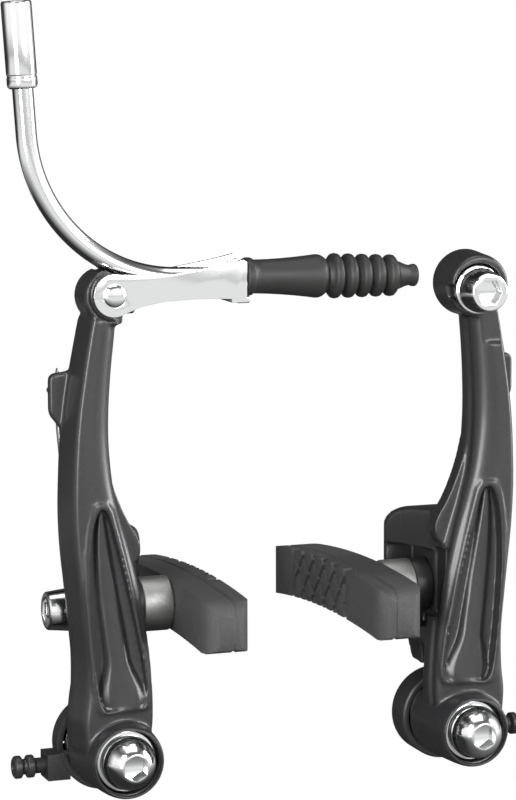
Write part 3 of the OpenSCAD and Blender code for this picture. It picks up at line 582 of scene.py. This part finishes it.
def rounded(points, times):
    """Corner cutting on a closed outline."""
    for _ in range(times):
        points = [tuple(a * k + b * (1 - k) for a, b in zip(p, q))
                  for p, q in zip(points, points[1:] + points[:1]) for k in (0.75, 0.25)]
    return points


def arc(cx, cy, r, a0, a1, n):
    """Points of an arc between two angles in degrees."""
    return [(cx + r * math.cos(math.radians(a0 + (a1 - a0) * i / n)),
             cy + r * math.sin(math.radians(a0 + (a1 - a0) * i / n)))
            for i in range(n + 1)]


def arm_blade(levels=90):
    """The blade as a loft of its section along the rows."""
    section = rounded(ARM_SECTION, 3)
    rings = []
    for i in range(levels + 1):
        share, outer, inner, deep = row_at(ARM_ROWS, (len(ARM_ROWS) - 1) * i / levels)
        rings.append([(outer + (inner - outer) * a, FACE + DEPTH * deep * d,
                       share * ARM_TALL) for a, d in section])
    return loft("blade", rings)


def pad_mount():
    """The web, rear wall and hoods that carry the pad stud."""
    top, root, edge = 47.4, BACK_LOW - 3, 0.7
    side = ([(root, 5), (-8.5, 5), (-8.5, 11.4), (0.2, 11.6), (1.5, 12.8), (2.4, 17),
             (WALL_Y, 21)]
            + arc(WALL_Y - 6, top - 6, 6, 0, 80, 12) + [(root, top + 1)])
    front = ([(-6, 0), (WEB_IN + 0.3, 0), (WEB_IN + 0.4, 14), (WEB_IN + 0.9, 16.4),
              (WALL_IN - 2, 19.2), (WALL_IN - 0.4, 21), (WALL_IN, 23.5)]
             + arc(WALL_IN - 5, top - 5, 5, 0, 90, 12) + [(-6, top + 2)])
    rear = [(WALL_IN, WALL_Y - edge), (WALL_IN - edge, WALL_Y), (-1, WALL_Y),
            (-1.6, WALL_Y - 0.6)]
    web = [(WEB_OUT, root), (WEB_IN, root), (WEB_IN, POCKET_Y), (WALL_IN - 1, POCKET_Y),
           (WALL_IN, POCKET_Y + edge), *rear, (-1.6, POCKET_Y), (WEB_OUT, POCKET_Y - 1.2)]
    hood = [(WEB_OUT - 1, root), (WEB_IN - 0.4, root), (WEB_IN + 0.6, STUD_Y - 5),
            (WALL_IN - 2.2, STUD_Y + 3), (WALL_IN, POCKET_Y), *rear, (-1.6, POCKET_Y - 2)]
    body = joined(
        prism("web", web, "XY", 0, 60),
        prism("hood_top", hood, "XY", STUD_Z + POCKET_HALF, STUD_Z + POCKET_HALF + 20),
        prism("hood_low", hood, "XY", 0, STUD_Z - POCKET_HALF))
    combined(body, prism("mount_side", side, "YZ", -5, WALL_IN + 1), "INTERSECT")
    return combined(body, prism("mount_front", front, "XZ", BACK_LOW - 4, WALL_Y + 1),
                    "INTERSECT")


def gusset():
    """The flare from the blade's rear rail down to the pad mount."""
    outline = [(-1.5, 64), (-0.6, 60), (0.5, 56.5), (1.9, 53), (3.4, 50), (4.9, 47.6),
               (5.9, 45.4), (6.0, 43.4), (5.2, 41.6), (3.6, 40.4), (-1.5, 39.6)]
    return prism("gusset", outline, "XZ", FACE + 6.2, BACK_LOW + 1)


def recess_outline(grow=0.0, lower=0.0, longer=0.0, n=30):
    """The recess's outline, or a larger one round it for the rim."""
    one, two = [], []
    for i in range(n + 1):
        share, outer, inner = row_at(RECESS_ROWS, (len(RECESS_ROWS) - 1) * i / n)
        z = (RECESS_LOW - lower
             + (share * ARM_TALL - RECESS_LOW) * (RECESS_LONG + longer) / RECESS_LONG)
        one.append((inner + grow, z))
        two.append((outer - grow, z))
    return one + two[::-1]


def eased(x):
    """0 to 1 with a soft start and end."""
    x = max(0.0, min(1.0, x))
    return x * x * (3 - 2 * x)


def recess_rib(depth, n=44):
    """The rounded rib in the recess, which fills it toward the pivot as a ramp."""
    rings = []
    for i in range(n + 1):
        share, outer, inner = row_at(RECESS_ROWS, (len(RECESS_ROWS) - 1) * i / n)
        z = share * ARM_TALL
        open_up = eased((z - RECESS_LOW - 0.5) / 11)
        side = 0.3 - open_up * (0.3 + 0.23 * (inner - outer))
        a, b = outer - side, inner + side
        mid, half = (a + b) / 2, max((b - a) / 2, 0.35)
        rise = depth - (depth - 1.3) * min(1.0, max(0.0, z - RECESS_LOW) / 24) ** 0.8
        ring = [(mid + half * t, FACE + depth - rise * (1 - abs(t) ** 4), z)
                for t in (-1, -0.85, -0.6, -0.3, 0, 0.3, 0.6, 0.85, 1)]
        rings.append(ring + [(mid + t * half, FACE + depth + 1, z) for t in (1, -1)])
    rings[0] = [(x, y, z - 2) for x, y, z in rings[0]]
    return loft("rib", rings)


def recess_cutter():
    """The teardrop recess, less the rib that stands inside it."""
    depth = bpy.context.scene.brake_arm.groove
    cutter = prism("recess", recess_outline(), "XZ", FACE - 2, FACE + depth)
    return carved(cutter, recess_rib(depth))


def recess_rim(width=0.95, proud=0.4):
    """The bead round the recess: a band of the face, set slightly forward."""
    band = prism("rim", recess_outline(width, 0.3, 1.5), "XZ", FACE - 2, FACE + 4)
    front = arm_blade()
    front.data.transform(Matrix.Translation((0, -proud * MM, 0)))
    return combined(band, front, "INTERSECT")


def boss():
    """The pivot boss, slightly wider at its rear end."""
    return spun("boss", [
        (0, -26.0), (7.1, -26.0), (7.3, -26.4), (7.6, -26.3), (7.9, -25.5), (8.1, -24.3),
        (8.3, -22), (8.6, -16), (8.9, -9.3), (8.3, -8.5), (0, -8.5)])


def spring_ear():
    """The ear on the outer edge, with the pin that holds the spring's leg."""
    z = ARM_TALL * 0.79
    back = FACE + DEPTH
    outline = ([(-7, z - 11), (-8.8, z - 10.5)] + arc(-9.9, z - 3.5, 3.4, 215, 180, 6)
               + arc(-11.7, z + 2.4, 1.6, 180, 90, 6) + [(-7, z + 4.6)])
    return joined(
        prism("ear", outline, "XZ", back - 2.6, back - 0.4),
        rod("ear_pin", 0.8, back - 1.4, back + 2.6, "Y", (-12.0, 0, z), 32))


def casting(name, head, cuts):
    """One arm: blade, boss, mount, ear and head joined, carved and softened."""
    sizes = bpy.context.scene.brake_arm
    body = joined(arm_blade(), boss(), pad_mount(), spring_ear(), recess_rim(), gusset(),
                  head)
    slot_r, travel, nut_room = 3.15, 2.5, 6.4
    slot = (WEB_OUT - 4, WEB_IN + 4)
    carved(
        body,
        recess_cutter(),
        rod("bush_room", 5.45, -26, -6, "Y", (0, 0, 0), 96),
        rod("bolt_room", 7.0, -28, -22.8, "Y", (0, 0, 0), 96),
        block("stud_slot", (slot[0], STUD_Y - slot_r, STUD_Z - travel),
              (slot[1], STUD_Y + slot_r, STUD_Z + travel)),
        rod("slot_low", slot_r, *slot, "X", (0, STUD_Y, STUD_Z - travel)),
        rod("slot_top", slot_r, *slot, "X", (0, STUD_Y, STUD_Z + travel)),
        block("pocket", (1.2, -18.4, 24.6), (9, -12.2, 39.6)),
        block("crease", (WEB_IN - 1.8, -6.7, 10), (WEB_IN + 0.9, -5.3, 23.6)),
        block("nut_room", (-20, STUD_Y - nut_room, STUD_Z - POCKET_HALF),
              (WEB_OUT, STUD_Y + nut_room, STUD_Z + POCKET_HALF)),
        *cuts)
    applied(body, "REMESH", mode="VOXEL", voxel_size=sizes.grid * MM, use_smooth_shade=True)
    applied(body, "SMOOTH", factor=0.5, iterations=sizes.rounds)
    body.name = body.data.name = name
    return body


def left_head():
    """The round head that the link's pin goes through."""
    back = FACE + DEPTH * 0.92
    head = spun("head", [
        (0, FACE + 0.2), (5.0, FACE + 0.2), (5.7, FACE + 0.7), (6.0, FACE + 1.6),
        (6.0, back - 0.9), (5.2, back), (0, back)], centre=(PIN[0] - 0.27, 0, PIN[1] - 0.47))
    return carved(head, block("head_low", (PIN[0] + 2.2, FACE - 2, PIN[1] - 12),
                              (PIN[0] + 12, back + 2, PIN[1] - 4.0)))


def left_head_cuts():
    """Room in the head for the link, the noodle and the pin, over their travel."""
    swing, tongue = 5.4, 2.5
    mid = PLATE_IN + LINK_HALF
    at_pin = Matrix.Translation((PIN[0] * MM, 0, PIN[1] * MM))
    cuts = []
    for k, (a, b) in enumerate(((FACE - 3, mid - tongue), (mid + tongue, HEAD_BACK))):
        cuts.append(rod("link_room_%d" % k, swing, a, b, "Y", (PIN[0], 0, PIN[1]), 96))
        cuts.append(block("link_way_%d" % k, (PIN[0], a, PIN[1] - swing),
                          (PIN[0] + 12, b, PIN[1] + 10.6)))
        low = prism("link_low_%d" % k, [(2.6, -4.4), (6, -3.4), (12, -2.3), (12, 4), (2.6, 4)],
                    "XZ", a, b)
        low.data.transform(at_pin @ Matrix.Rotation(math.radians(LINK_SWING), 4, "Y"))
        cuts.append(low)
    room = noodle_path_tube("noodle_room", 2.9, 0)
    room.data.transform(Matrix.Translation((PIVOT_X * MM, 0, 0)))
    sweep = prism("noodle_sweep", arc(0, 0, 3.6, 85, -32, 20) + arc(0, 0, 12, -32, 85, 20),
                  "XZ", mid - LINK_HALF, mid + LINK_HALF)
    sweep.data.transform(at_pin)
    pin_room = rod("pin_room", 2.1, FACE - 3, HEAD_BACK, "Y", (PIN[0], 0, PIN[1]))
    return cuts + [sweep, pin_room, room]


ANCHOR = (-1.0, 97.8)
ANCHOR_SEAT = FACE + 0.7


def right_head():
    """The hood over the cable anchor."""
    s = ANCHOR_SEAT
    return spun("hood", [
        (0, s - 1.93), (6.2, s - 1.93), (6.6, s - 1.4), (6.8, s - 0.4), (7.0, s + 3.1),
        (7.3, s + 7.4), (6.9, s + 8.8), (5.9, s + 9.57), (0, s + 9.57)],
        centre=(ANCHOR[0] - 0.37, 0, ANCHOR[1] + 0.93))


def right_head_cuts():
    """Room for the anchor's washer, bolt and cable."""
    s, (u, z) = ANCHOR_SEAT, ANCHOR
    return [
        rod("washer_room", 5.75, s - 4, s, "Y", (u, 0, z), 96),
        rod("anchor_room", 2.5, s - 4, s + 14, "Y", (u, 0, z)),
        block("front_room", (u - 9, s - 4, z - 12), (u + 9, s, z - 2.5)),
        block("cable_notch", (u + 3, s - 4, z - 2), (u + 11, s + 1.3, z + 1.2))]


def to_side(obj, side):
    """Moves a part drawn round its own pivot to the left or right arm."""
    obj.data.transform(TO_LEFT)
    if side == "right":
        obj.data.transform(MIRROR_X)
        obj.data.flip_normals()
    return obj


# Noodle

# Middle of the link's nose, then the noodle's tilt and bend in degrees, the
# bend's radius and the lengths of the straight runs before and after it
NOSE = (-12.0, -18.7, 102.1)
TILT, BEND, BEND_R, RUN, RISE = 1.5, 84.6, 33.0, 14.9, 15.5


def nose_matrix():
    """Place of the noodle's line at the link's nose."""
    return (Matrix.Translation(Vector(NOSE) * MM)
            @ Matrix.Rotation(math.radians(TILT), 4, "Y"))


def rise_matrix():
    """Place of the noodle's line where its bend ends."""
    shift = Matrix.Translation((0, 0, BEND_R * MM))
    return (nose_matrix() @ Matrix.Translation((-RUN * MM, 0, 0)) @ shift
            @ Matrix.Rotation(math.radians(BEND), 4, "Y")
            @ shift.inverted() @ Matrix.Rotation(math.pi, 4, "Y"))


def noodle_points(start, end):
    """Middle line of the noodle in metres, from its nose end to its upper end."""
    flat = [(start - start * i / 6, 0.0) for i in range(6)]
    bend = [(-BEND_R * math.sin(math.radians(BEND * i / 72)),
             BEND_R * (1 - math.cos(math.radians(BEND * i / 72)))) for i in range(73)]
    c, s = math.cos(math.radians(BEND)), math.sin(math.radians(BEND))
    rise = [(bend[-1][0] - c * end * i / 6, bend[-1][1] + s * end * i / 6)
            for i in range(1, 7)]
    place = nose_matrix() @ Matrix.Translation((-RUN * MM, 0, 0))
    return [place @ (Vector((x, 0, z)) * MM) for x, z in flat + bend + rise]


def noodle_path_tube(name, radius, wall):
    """A round tube swept along the noodle's line; wall 0 makes it solid."""
    obj = swept(name, noodle_points(RUN - 1.3, RISE), radius, 10, caps=wall == 0)
    if wall:
        applied(obj, "SOLIDIFY", thickness=wall * MM, offset=-1)
    return obj


# Pieces

class BRAKE_OT_castings(bpy.types.Operator):
    """Builds the two cast arms"""
    bl_idname = "brake.castings"
    bl_label = "Cast arms"

    def execute(self, context):
        left = casting("left_arm_casting", left_head(), left_head_cuts())
        right = casting("right_arm_casting", right_head(), right_head_cuts())
        for side, obj in (("left", left), ("right", right)):
            adopt(to_side(obj, side), side + "_arm", "arm_paint_satin")
        return {"FINISHED"}


class BRAKE_OT_pivots(bpy.types.Operator):
    """Builds the pivot bolts and washers, spring caps, springs and tension screws"""
    bl_idname = "brake.pivots"
    bl_label = "Pivot hardware"

    def execute(self, context):
        edge = context.scene.brake_metal.edge
        dome, rise, cap_angle = -25.8, 5.1, 62
        bolt = spun("bolt", [(0, 8), (2.5, 8), (2.9, 7.6), (2.9, -22.4), (3.0, -22.5),
                             (3.0, -24.0), (5.7, -24.0), (5.9, -24.3), (5.9, -25.5),
                             (5.62, dome)]
                    + [(5.62 * math.cos(math.radians(a)) + 0.3 * math.sin(math.radians(a)),
                        dome - rise * math.sin(math.radians(a))
                        / math.sin(math.radians(cap_angle)))
                       for a in range(6, 61, 6)]
                    + [(2.9, -30.87), (0, -30.9)])
        carved(bolt, rod("socket", 2.5 / math.cos(math.pi / 6), -32, -27.3, "Y",
                         (0, 0, 0), 6))
        broken(bolt, 0.1, 2, 45)
        bolt.data.transform(TO_LEFT)
        both_sides(shaded(bolt, 30), "pivot_bolt", "chrome_polished")
        washer = node_copy("left_bolt_washer", "washer")
        both_sides(shaded(broken(washer, edge, 2)), "bolt_washer",
                   "chrome_polished")
        cap = broken(node_copy("left_spring_cap", "cap"), 0.22, 3, 35)
        both_sides(shaded(cap), "spring_cap", "plastic_black")
        screw = broken(node_copy("left_tension_screw", "screw"), 0.14, 2, 35)
        both_sides(shaded(screw), "tension_screw", "plastic_black")
        return {"FINISHED"}


class BRAKE_OT_springs(bpy.types.Operator):
    """Builds the two return springs from round wire"""
    bl_idname = "brake.springs"
    bl_label = "Return springs"

    def execute(self, context):
        turns, coil_r, wire_r, per_turn = 3, 7.4, 0.7, 24
        cap_gap, cap_floor, ear_out, ear_pin_r = 0.4, 1.2, 13.7, 0.8
        back = -cap_gap - cap_floor - wire_r
        front = back - (2 * wire_r + 0.08) * turns
        leg_u = -ear_out + 1.6 + ear_pin_r + wire_r
        ear_z = ARM_TALL * 0.79
        leg_y = FACE + DEPTH * 1.02 + wire_r + 0.25
        low_y = BACK_LOW + wire_r + 0.25
        path = [(-coil_r, 3.6, 0), (-coil_r, 2.2, 0), (-coil_r, 0.8, 0),
                (-coil_r, back + 1, 0)]
        path += [(coil_r * math.cos(math.radians(180 - 360 * i / per_turn)),
                  back + (front - back) * i / (per_turn * turns),
                  coil_r * math.sin(math.radians(180 - 360 * i / per_turn)))
                 for i in range(1, per_turn * turns + 1)]
        path += [(-coil_r - 0.1, front - 0.1, 4), (-coil_r - 0.1, front - 0.5, 9),
                 (-coil_r, front - 2.6, 14), (-coil_r + 0.2, low_y, 21),
                 (-coil_r + 0.1, low_y, 29), (-coil_r, low_y, 38), (-8.6, leg_y, 54),
                 (leg_u, leg_y, ear_z - 8), (leg_u, leg_y, ear_z + 5)]
        wire = swept("spring", [Vector(co) * MM for co in path], wire_r, 4)
        wire.data.transform(TO_LEFT)
        applied(wire, "SUBSURF", levels=1, render_levels=1)
        both_sides(shaded(wire, 60), "spring", "steel_plain")
        for side, s in SIDES.items():
            piece = bpy.data.objects["%s_spring_piece" % side]
            piece.parent = None
            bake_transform(piece)
        return {"FINISHED"}


class BRAKE_OT_pads(bpy.types.Operator):
    """Builds the two brake pads, with a seam round each"""
    bl_idname = "brake.pads"
    bl_label = "Pads"

    def execute(self, context):
        pad = node_copy("left_pad", "pad")
        face = -14.8 * MM
        seam = face - 3.6 * MM
        half = 0.45 * MM
        for x in (seam - half, seam, seam + half):
            edited(pad, (bpy.ops.mesh.bisect,
                         {"plane_co": (x, 0, 0), "plane_no": (1, 0, 0)}))
        sink = context.scene.brake_rubber.seam * MM
        bm = bmesh.new()
        bm.from_mesh(pad.data)
        bm.normal_update()
        for v in bm.verts:
            if abs(v.co.x - seam) < 1e-6:
                n = Vector((0, v.normal.y, v.normal.z))
                v.co -= n.normalized() * sink if n.length > 0.1 else Vector()
        bm.to_mesh(pad.data)
        bm.free()
        broken(pad, 0.5, 3, 38)
        both_sides(shaded(pad, 35), "pad", "pad_rubber_matte")
        return {"FINISHED"}


class BRAKE_OT_pad_hardware(bpy.types.Operator):
    """Builds the spherical washers, cups, nuts and studs of the pads"""
    bl_idname = "brake.pad_hardware"
    bl_label = "Pad washers and nuts"

    def execute(self, context):
        parts = (("inner_dome", "spacer", "spacer_blasted", 0.3),
                 ("inner_cup", "steel", "cup_grey", 0.2),
                 ("outer_cup", "steel", "cup_grey", 0.2),
                 ("outer_dome", "spacer", "spacer_blasted", 0.2),
                 ("flat_washer", "spacer", "spacer_blasted", 0.12),
                 ("pad_nut", "chrome", "chrome_polished", 0.16),
                 ("pad_stud", "steel", "steel_plain", 0.15))
        for part, slot, finish, width in parts:
            piece = broken(node_copy("left_" + part, part), width, 2, 40)
            both_sides(shaded(piece, 34), part, finish)
        return {"FINISHED"}


class BRAKE_OT_link(bpy.types.Operator):
    """Builds the folded link and its domed pin"""
    bl_idname = "brake.link"
    bl_label = "Link and pin"

    def execute(self, context):
        link = broken(node_copy("link", "link_piece"), 0.3, 3, 40)
        tab = broken(block("tab", (-13.9, -21.6, 96.7), (-10.9, -17.0, 98.2)), 0.4, 3, 40)
        link = joined(link, tab)
        adopt(shaded(link, 34), "link", "chrome_polished")
        pin = broken(node_copy("link_pin", "link_pin_piece"), 0.12, 2, 40)
        adopt(shaded(pin, 34), "link_pin", "chrome_polished")
        return {"FINISHED"}


class BRAKE_OT_noodle(bpy.types.Operator):
    """Builds the bent noodle tube and its ferrule"""
    bl_idname = "brake.noodle"
    bl_label = "Noodle"

    def execute(self, context):
        tube = noodle_path_tube("noodle_tube_piece", 2.2, 0.7)
        adopt(shaded(tube, 40), "noodle_tube", "chrome_polished")
        foot, long, socket = 9.5, 18.0, 11.0
        ferrule = spun("noodle_ferrule_piece", [
            (2.22, 0), (2.7, 0), (3.05, 0.3), (3.2, 0.9), (3.2, 2.2), (3.08, 2.4),
            (3.08, 2.8), (3.2, 3.0), (3.2, long - 0.5), (3.0, long), (2.7, long),
            (2.55, long - 0.15), (2.55, long - socket), (1.5, long - socket), (1.5, 6.05),
            (2.22, 6.05)], "X")
        broken(ferrule, 0.12, 2, 25)
        ferrule.data.transform(rise_matrix() @ Matrix.Translation((foot * MM, 0, 0)))
        adopt(shaded(ferrule, 34), "noodle_ferrule", "chrome_polished")
        return {"FINISHED"}


class BRAKE_OT_boot(bpy.types.Operator):
    """Builds the rubber boot with its bellows"""
    bl_idname = "brake.boot"
    bl_label = "Boot"

    def execute(self, context):
        pitch, peak, valley, count = 3.2, 4.9, 3.4, 5
        end = 18.4
        start = end + pitch * 0.85
        last = start + pitch * (count - 1)
        wall = 1

        def fold(i, q):
            """Radius of fold i, where q is 0 in its valley and 1 on its peak."""
            return valley + (peak - valley) * q * (1 - i * 0.02) - i * 0.06

        outer = [(3.5, 0.3), (3.9, 0.42), (4.1, 0.8), (4.1, 1.7), (3.95, 2.15), (3.62, 2.4),
                 (3.66, 4), (3.72, 6), (3.9, 9), (4.15, 12), (4.45, 14.8), (4.68, 16.6),
                 (4.66, 17.3), (4.45, 17.9), (4.05, 18.5), (valley, end + 0.75)]
        outer += [(fold(i, q), start + pitch * (i + share))
                  for i in range(count)
                  for share, q in ((-0.4, 0.25), (-0.3, 0.62), (-0.18, 0.92), (0, 1),
                                   (0.18, 0.92), (0.3, 0.62), (0.4, 0.25), (0.5, 0))]
        outer += [(2.9, last + 2.4), (2.5, last + 3.3), (2.2, last + 4.4), (1.98, 37.2),
                  (2.05, 38), (2.3, 38.7), (2.45, 39.3), (2.42, 39.75), (2.25, 40)]
        inner = [(1.5, 40), (1.3, 39.6), (1.1, 38), (1.25, last + 4), (1.9, last + 2)]
        inner += [(fold(i, q) - wall, start + pitch * (i + share))
                  for i in range(count - 1, -1, -1)
                  for share, q in ((0.42, 0), (0.14, 0.85), (-0.14, 0.85), (-0.42, 0))]
        inner += [(3.3, end - 2), (3.1, 13), (2.5, 5), (2.0, 4.2), (2.0, 0.3)]
        boot = spun("boot_piece", outer + inner, "X", steps=112)
        boot.data.transform(nose_matrix())
        adopt(shaded(boot, 60), "boot", "boot_rubber_matte")
        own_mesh(boot)
        return {"FINISHED"}


class BRAKE_OT_anchor(bpy.types.Operator):
    """Builds the cable anchor's bolt and washer"""
    bl_idname = "brake.anchor"
    bl_label = "Cable anchor"

    def execute(self, context):
        for node, width in (("anchor_bolt", 0.14), ("anchor_washer", 0.16)):
            piece = broken(node_copy(node, node + "_piece"), width, 2, 36)
            adopt(shaded(piece, 34), node, "chrome_polished")
        return {"FINISHED"}


class BRAKE_OT_kept(bpy.types.Operator):
    """Gives the CAD nodes that stay their finishes"""
    bl_idname = "brake.kept"
    bl_label = "Kept nodes"

    def execute(self, context):
        finishes = {"noodle_tip": "brass_turned", "noodle_liner": "liner_white"}
        for node, obj in frame["nodes"].items():
            obj.data.materials.clear()
            obj.data.materials.append(finish_of(finishes.get(node, "steel_plain")))
        return {"FINISHED"}


# Lamps: name, place, width and height in metres, watts
LAMPS = (
    ("lamp_left", (-0.62, -0.62, 0.3), (0.26, 0.9), 11),
    ("lamp_right", (0.95, -0.2, 0.25), (0.3, 0.9), 11),
    ("lamp_top", (0.0, -0.1, 1.0), (0.8, 0.8), 3.0),
    ("lamp_front", (0.3, -0.85, 0.37), (0.55, 0.42), 4.6))
LAMP_AIM = Vector((0, -0.01, 0.07))
# Grey that gloss meets from straight down, 0, to straight up, 1
SKY_TONES = ((0.44, 0.42), (0.52, 0.95), (0.7, 1.0), (0.8, 0.35), (0.88, 0.08), (0.95, 0.3))
WHITE = (1, 1, 1, 1)


def seen_straight(tree, path):
    """1 for rays from the camera or through glass, 0 for all others."""
    either = math_node(tree, "MAXIMUM")
    wired(tree, (path, "Is Camera Ray", either, 0), (path, "Is Transmission Ray", either, 1))
    return either


class BRAKE_OT_stage(bpy.types.Operator):
    """Sets the floor, the lamps, the white surround and the camera"""
    bl_idname = "brake.stage"
    bl_label = "Stage"

    def execute(self, context):
        scene, level = context.scene, context.scene.brake_stage.lamp
        self.surround(scene)
        for name, place, size, watts in LAMPS:
            lamp = bpy.data.lights.new(name, "AREA")
            lamp.shape = "RECTANGLE"
            lamp.size, lamp.size_y = size
            lamp.energy = watts * level
            obj = bpy.data.objects.new(name, lamp)
            obj.location = place
            aim = LAMP_AIM - Vector(place)
            obj.rotation_euler = aim.to_track_quat("-Z", "Y").to_euler()
            scene.collection.objects.link(obj)
        self.floor()
        self.camera(scene)
        scene.view_settings.view_transform = "Standard"
        return {"FINISHED"}

    def surround(self, scene):
        """White to the camera; to gloss, a studio that is bright in front and dark behind."""
        world = bpy.data.worlds.new("studio")
        scene.world = world
        world.use_nodes = True
        tree = world.node_tree
        nodes = tree.nodes
        nodes.clear()
        out = nodes.new("ShaderNodeOutputWorld")
        path = nodes.new("ShaderNodeLightPath")
        place = nodes.new("ShaderNodeTexCoord")
        split = nodes.new("ShaderNodeSeparateXYZ")
        ramp = nodes.new("ShaderNodeValToRGB")
        level = range_node(tree, -1, 1, 0, 1)
        ends = ramp.color_ramp.elements
        ends[0].position, ends[0].color = 0.0, (0.75, 0.75, 0.75, 1)
        ends[1].position, ends[1].color = 1.0, WHITE
        for at, tone in SKY_TONES:
            ends.new(at).color = (tone, tone, tone, 1)
        behind = range_node(tree, 0.1, 0.6, 1.12, 0.06)
        shiny, plain, white = (nodes.new("ShaderNodeBackground") for _ in range(3))
        filled(plain, {"Color": WHITE, "Strength": 0.3})
        filled(white, {"Color": WHITE})
        first, second = nodes.new("ShaderNodeMixShader"), nodes.new("ShaderNodeMixShader")
        wired(tree, (place, "Generated", split, 0), (split, "Z", level, "Value"),
              (level, 0, ramp, "Fac"), (ramp, "Color", shiny, "Color"),
              (split, "Y", behind, "Value"), (behind, 0, shiny, "Strength"),
              (path, "Is Glossy Ray", first, "Fac"), (plain, 0, first, 1),
              (shiny, 0, first, 2), (seen_straight(tree, path), 0, second, "Fac"),
              (first, 0, second, 1), (white, 0, second, 2), (second, 0, out, "Surface"))

    def floor(self):
        """White to the camera; to gloss, a painted glow: painted shade under the brake and
        behind, painted light far in front.
        """
        bpy.ops.object.select_all(action="DESELECT")
        bpy.ops.mesh.primitive_circle_add(
            vertices=96, radius=1.6, fill_type="NGON", location=(0, 0, -0.06))
        obj = bpy.context.object
        obj.name = "studio_floor"
        mat = bpy.data.materials.new("floor_white")
        mat.use_nodes = True
        tree = mat.node_tree
        nodes = tree.nodes
        shader = filled(nodes["Principled BSDF"],
                        {"Base Color": (0.7, 0.7, 0.7, 1), "Roughness": 0.9})
        path, place = nodes.new("ShaderNodeLightPath"), nodes.new("ShaderNodeTexCoord")
        # far is a painted glow that only gloss sees, standing in for studio light off the
        # floor
        glow, far = nodes.new("ShaderNodeEmission"), nodes.new("ShaderNodeEmission")
        mix, shine = nodes.new("ShaderNodeMixShader"), nodes.new("ShaderNodeMixShader")
        reach, split = nodes.new("ShaderNodeVectorMath"), nodes.new("ShaderNodeSeparateXYZ")
        reach.operation = "DISTANCE"
        filled(reach, {1: (-0.1, 0.14, 0)})
        # Painted shade: the painted glow is dimmed near the brake
        painted_shade_near_brake = range_node(tree, 0.19, 0.56, 0.03, 0.9)
        behind = range_node(tree, 0.1, 0.7, 1, 0.06)
        level = math_node(tree, "MULTIPLY")
        wired(tree, (place, "Object", reach, 0), (reach, "Value", painted_shade_near_brake, "Value"),
              (place, "Object", split, 0), (split, "Y", behind, "Value"),
              (painted_shade_near_brake, 0, level, 0), (behind, 0, level, 1), (level, 0, far, "Strength"),
              (path, "Is Glossy Ray", shine, "Fac"), (shader, 0, shine, 1),
              (far, 0, shine, 2), (seen_straight(tree, path), 0, mix, "Fac"),
              (shine, 0, mix, 1), (glow, 0, mix, 2),
              (mix, 0, nodes["Material Output"], "Surface"))
        obj.data.materials.append(mat)

    def camera(self, scene):
        """The camera of the photograph."""
        data = bpy.data.cameras.new("camera")
        data.sensor_fit = "VERTICAL"
        data.sensor_width = data.sensor_height = 32.0
        data.lens = scene.brake_stage.lens
        data.clip_start, data.clip_end = 0.05, 20
        cam = bpy.data.objects.new("camera", data)
        scene.collection.objects.link(cam)
        cam.location = (-0.2324, -0.6495, 0.1677)
        a, e, roll = math.radians(19.56), math.radians(7.85), math.radians(-0.14)
        look = Vector((math.sin(a) * math.cos(e), math.cos(a) * math.cos(e), -math.sin(e)))
        right = Vector((math.cos(a), -math.sin(a), 0))
        up = right.cross(look)
        turn = Matrix((right, up, -look)).transposed()
        cam.rotation_euler = (turn @ Matrix.Rotation(roll, 3, "Z")).to_euler()
        scene.camera = cam


PIECES = (
    BRAKE_OT_kept, BRAKE_OT_castings, BRAKE_OT_pivots, BRAKE_OT_springs, BRAKE_OT_pads,
    BRAKE_OT_pad_hardware, BRAKE_OT_link, BRAKE_OT_noodle, BRAKE_OT_boot,
    BRAKE_OT_anchor, BRAKE_OT_stage)
SETTINGS = (
    ("brake_arm", ArmSettings), ("brake_metal", MetalSettings),
    ("brake_rubber", RubberSettings), ("brake_stage", StageSettings))


class BRAKE_PT_sidebar(bpy.types.Panel):
    """Lists the brake's sizes and pieces"""
    bl_idname = "BRAKE_PT_sidebar"
    bl_label = "Linear-pull brake"
    bl_space_type = "VIEW_3D"
    bl_region_type = "UI"
    bl_category = "Brake"

    def draw(self, context):
        for name, kind in SETTINGS:
            column = self.layout.box().column()
            for key in kind.__annotations__:
                column.prop(getattr(context.scene, name), key)
        for operator in PIECES:
            self.layout.operator(operator.bl_idname)


def register():
    for _, kind in SETTINGS:
        bpy.utils.register_class(kind)
    for kind in PIECES + (BRAKE_PT_sidebar,):
        bpy.utils.register_class(kind)
    for name, kind in SETTINGS:
        setattr(bpy.types.Scene, name, PointerProperty(type=kind))


def unregister():
    for name, _ in SETTINGS:
        delattr(bpy.types.Scene, name)
    for kind in (BRAKE_PT_sidebar,) + PIECES[::-1]:
        bpy.utils.unregister_class(kind)
    for _, kind in SETTINGS[::-1]:
        bpy.utils.unregister_class(kind)


def main():
    register()
    for operator in PIECES:
        area, name = operator.bl_idname.split(".")
        getattr(getattr(bpy.ops, area), name)()
    bpy.ops.object.select_all(action="DESELECT")


if __name__ == "__main__":
    main()
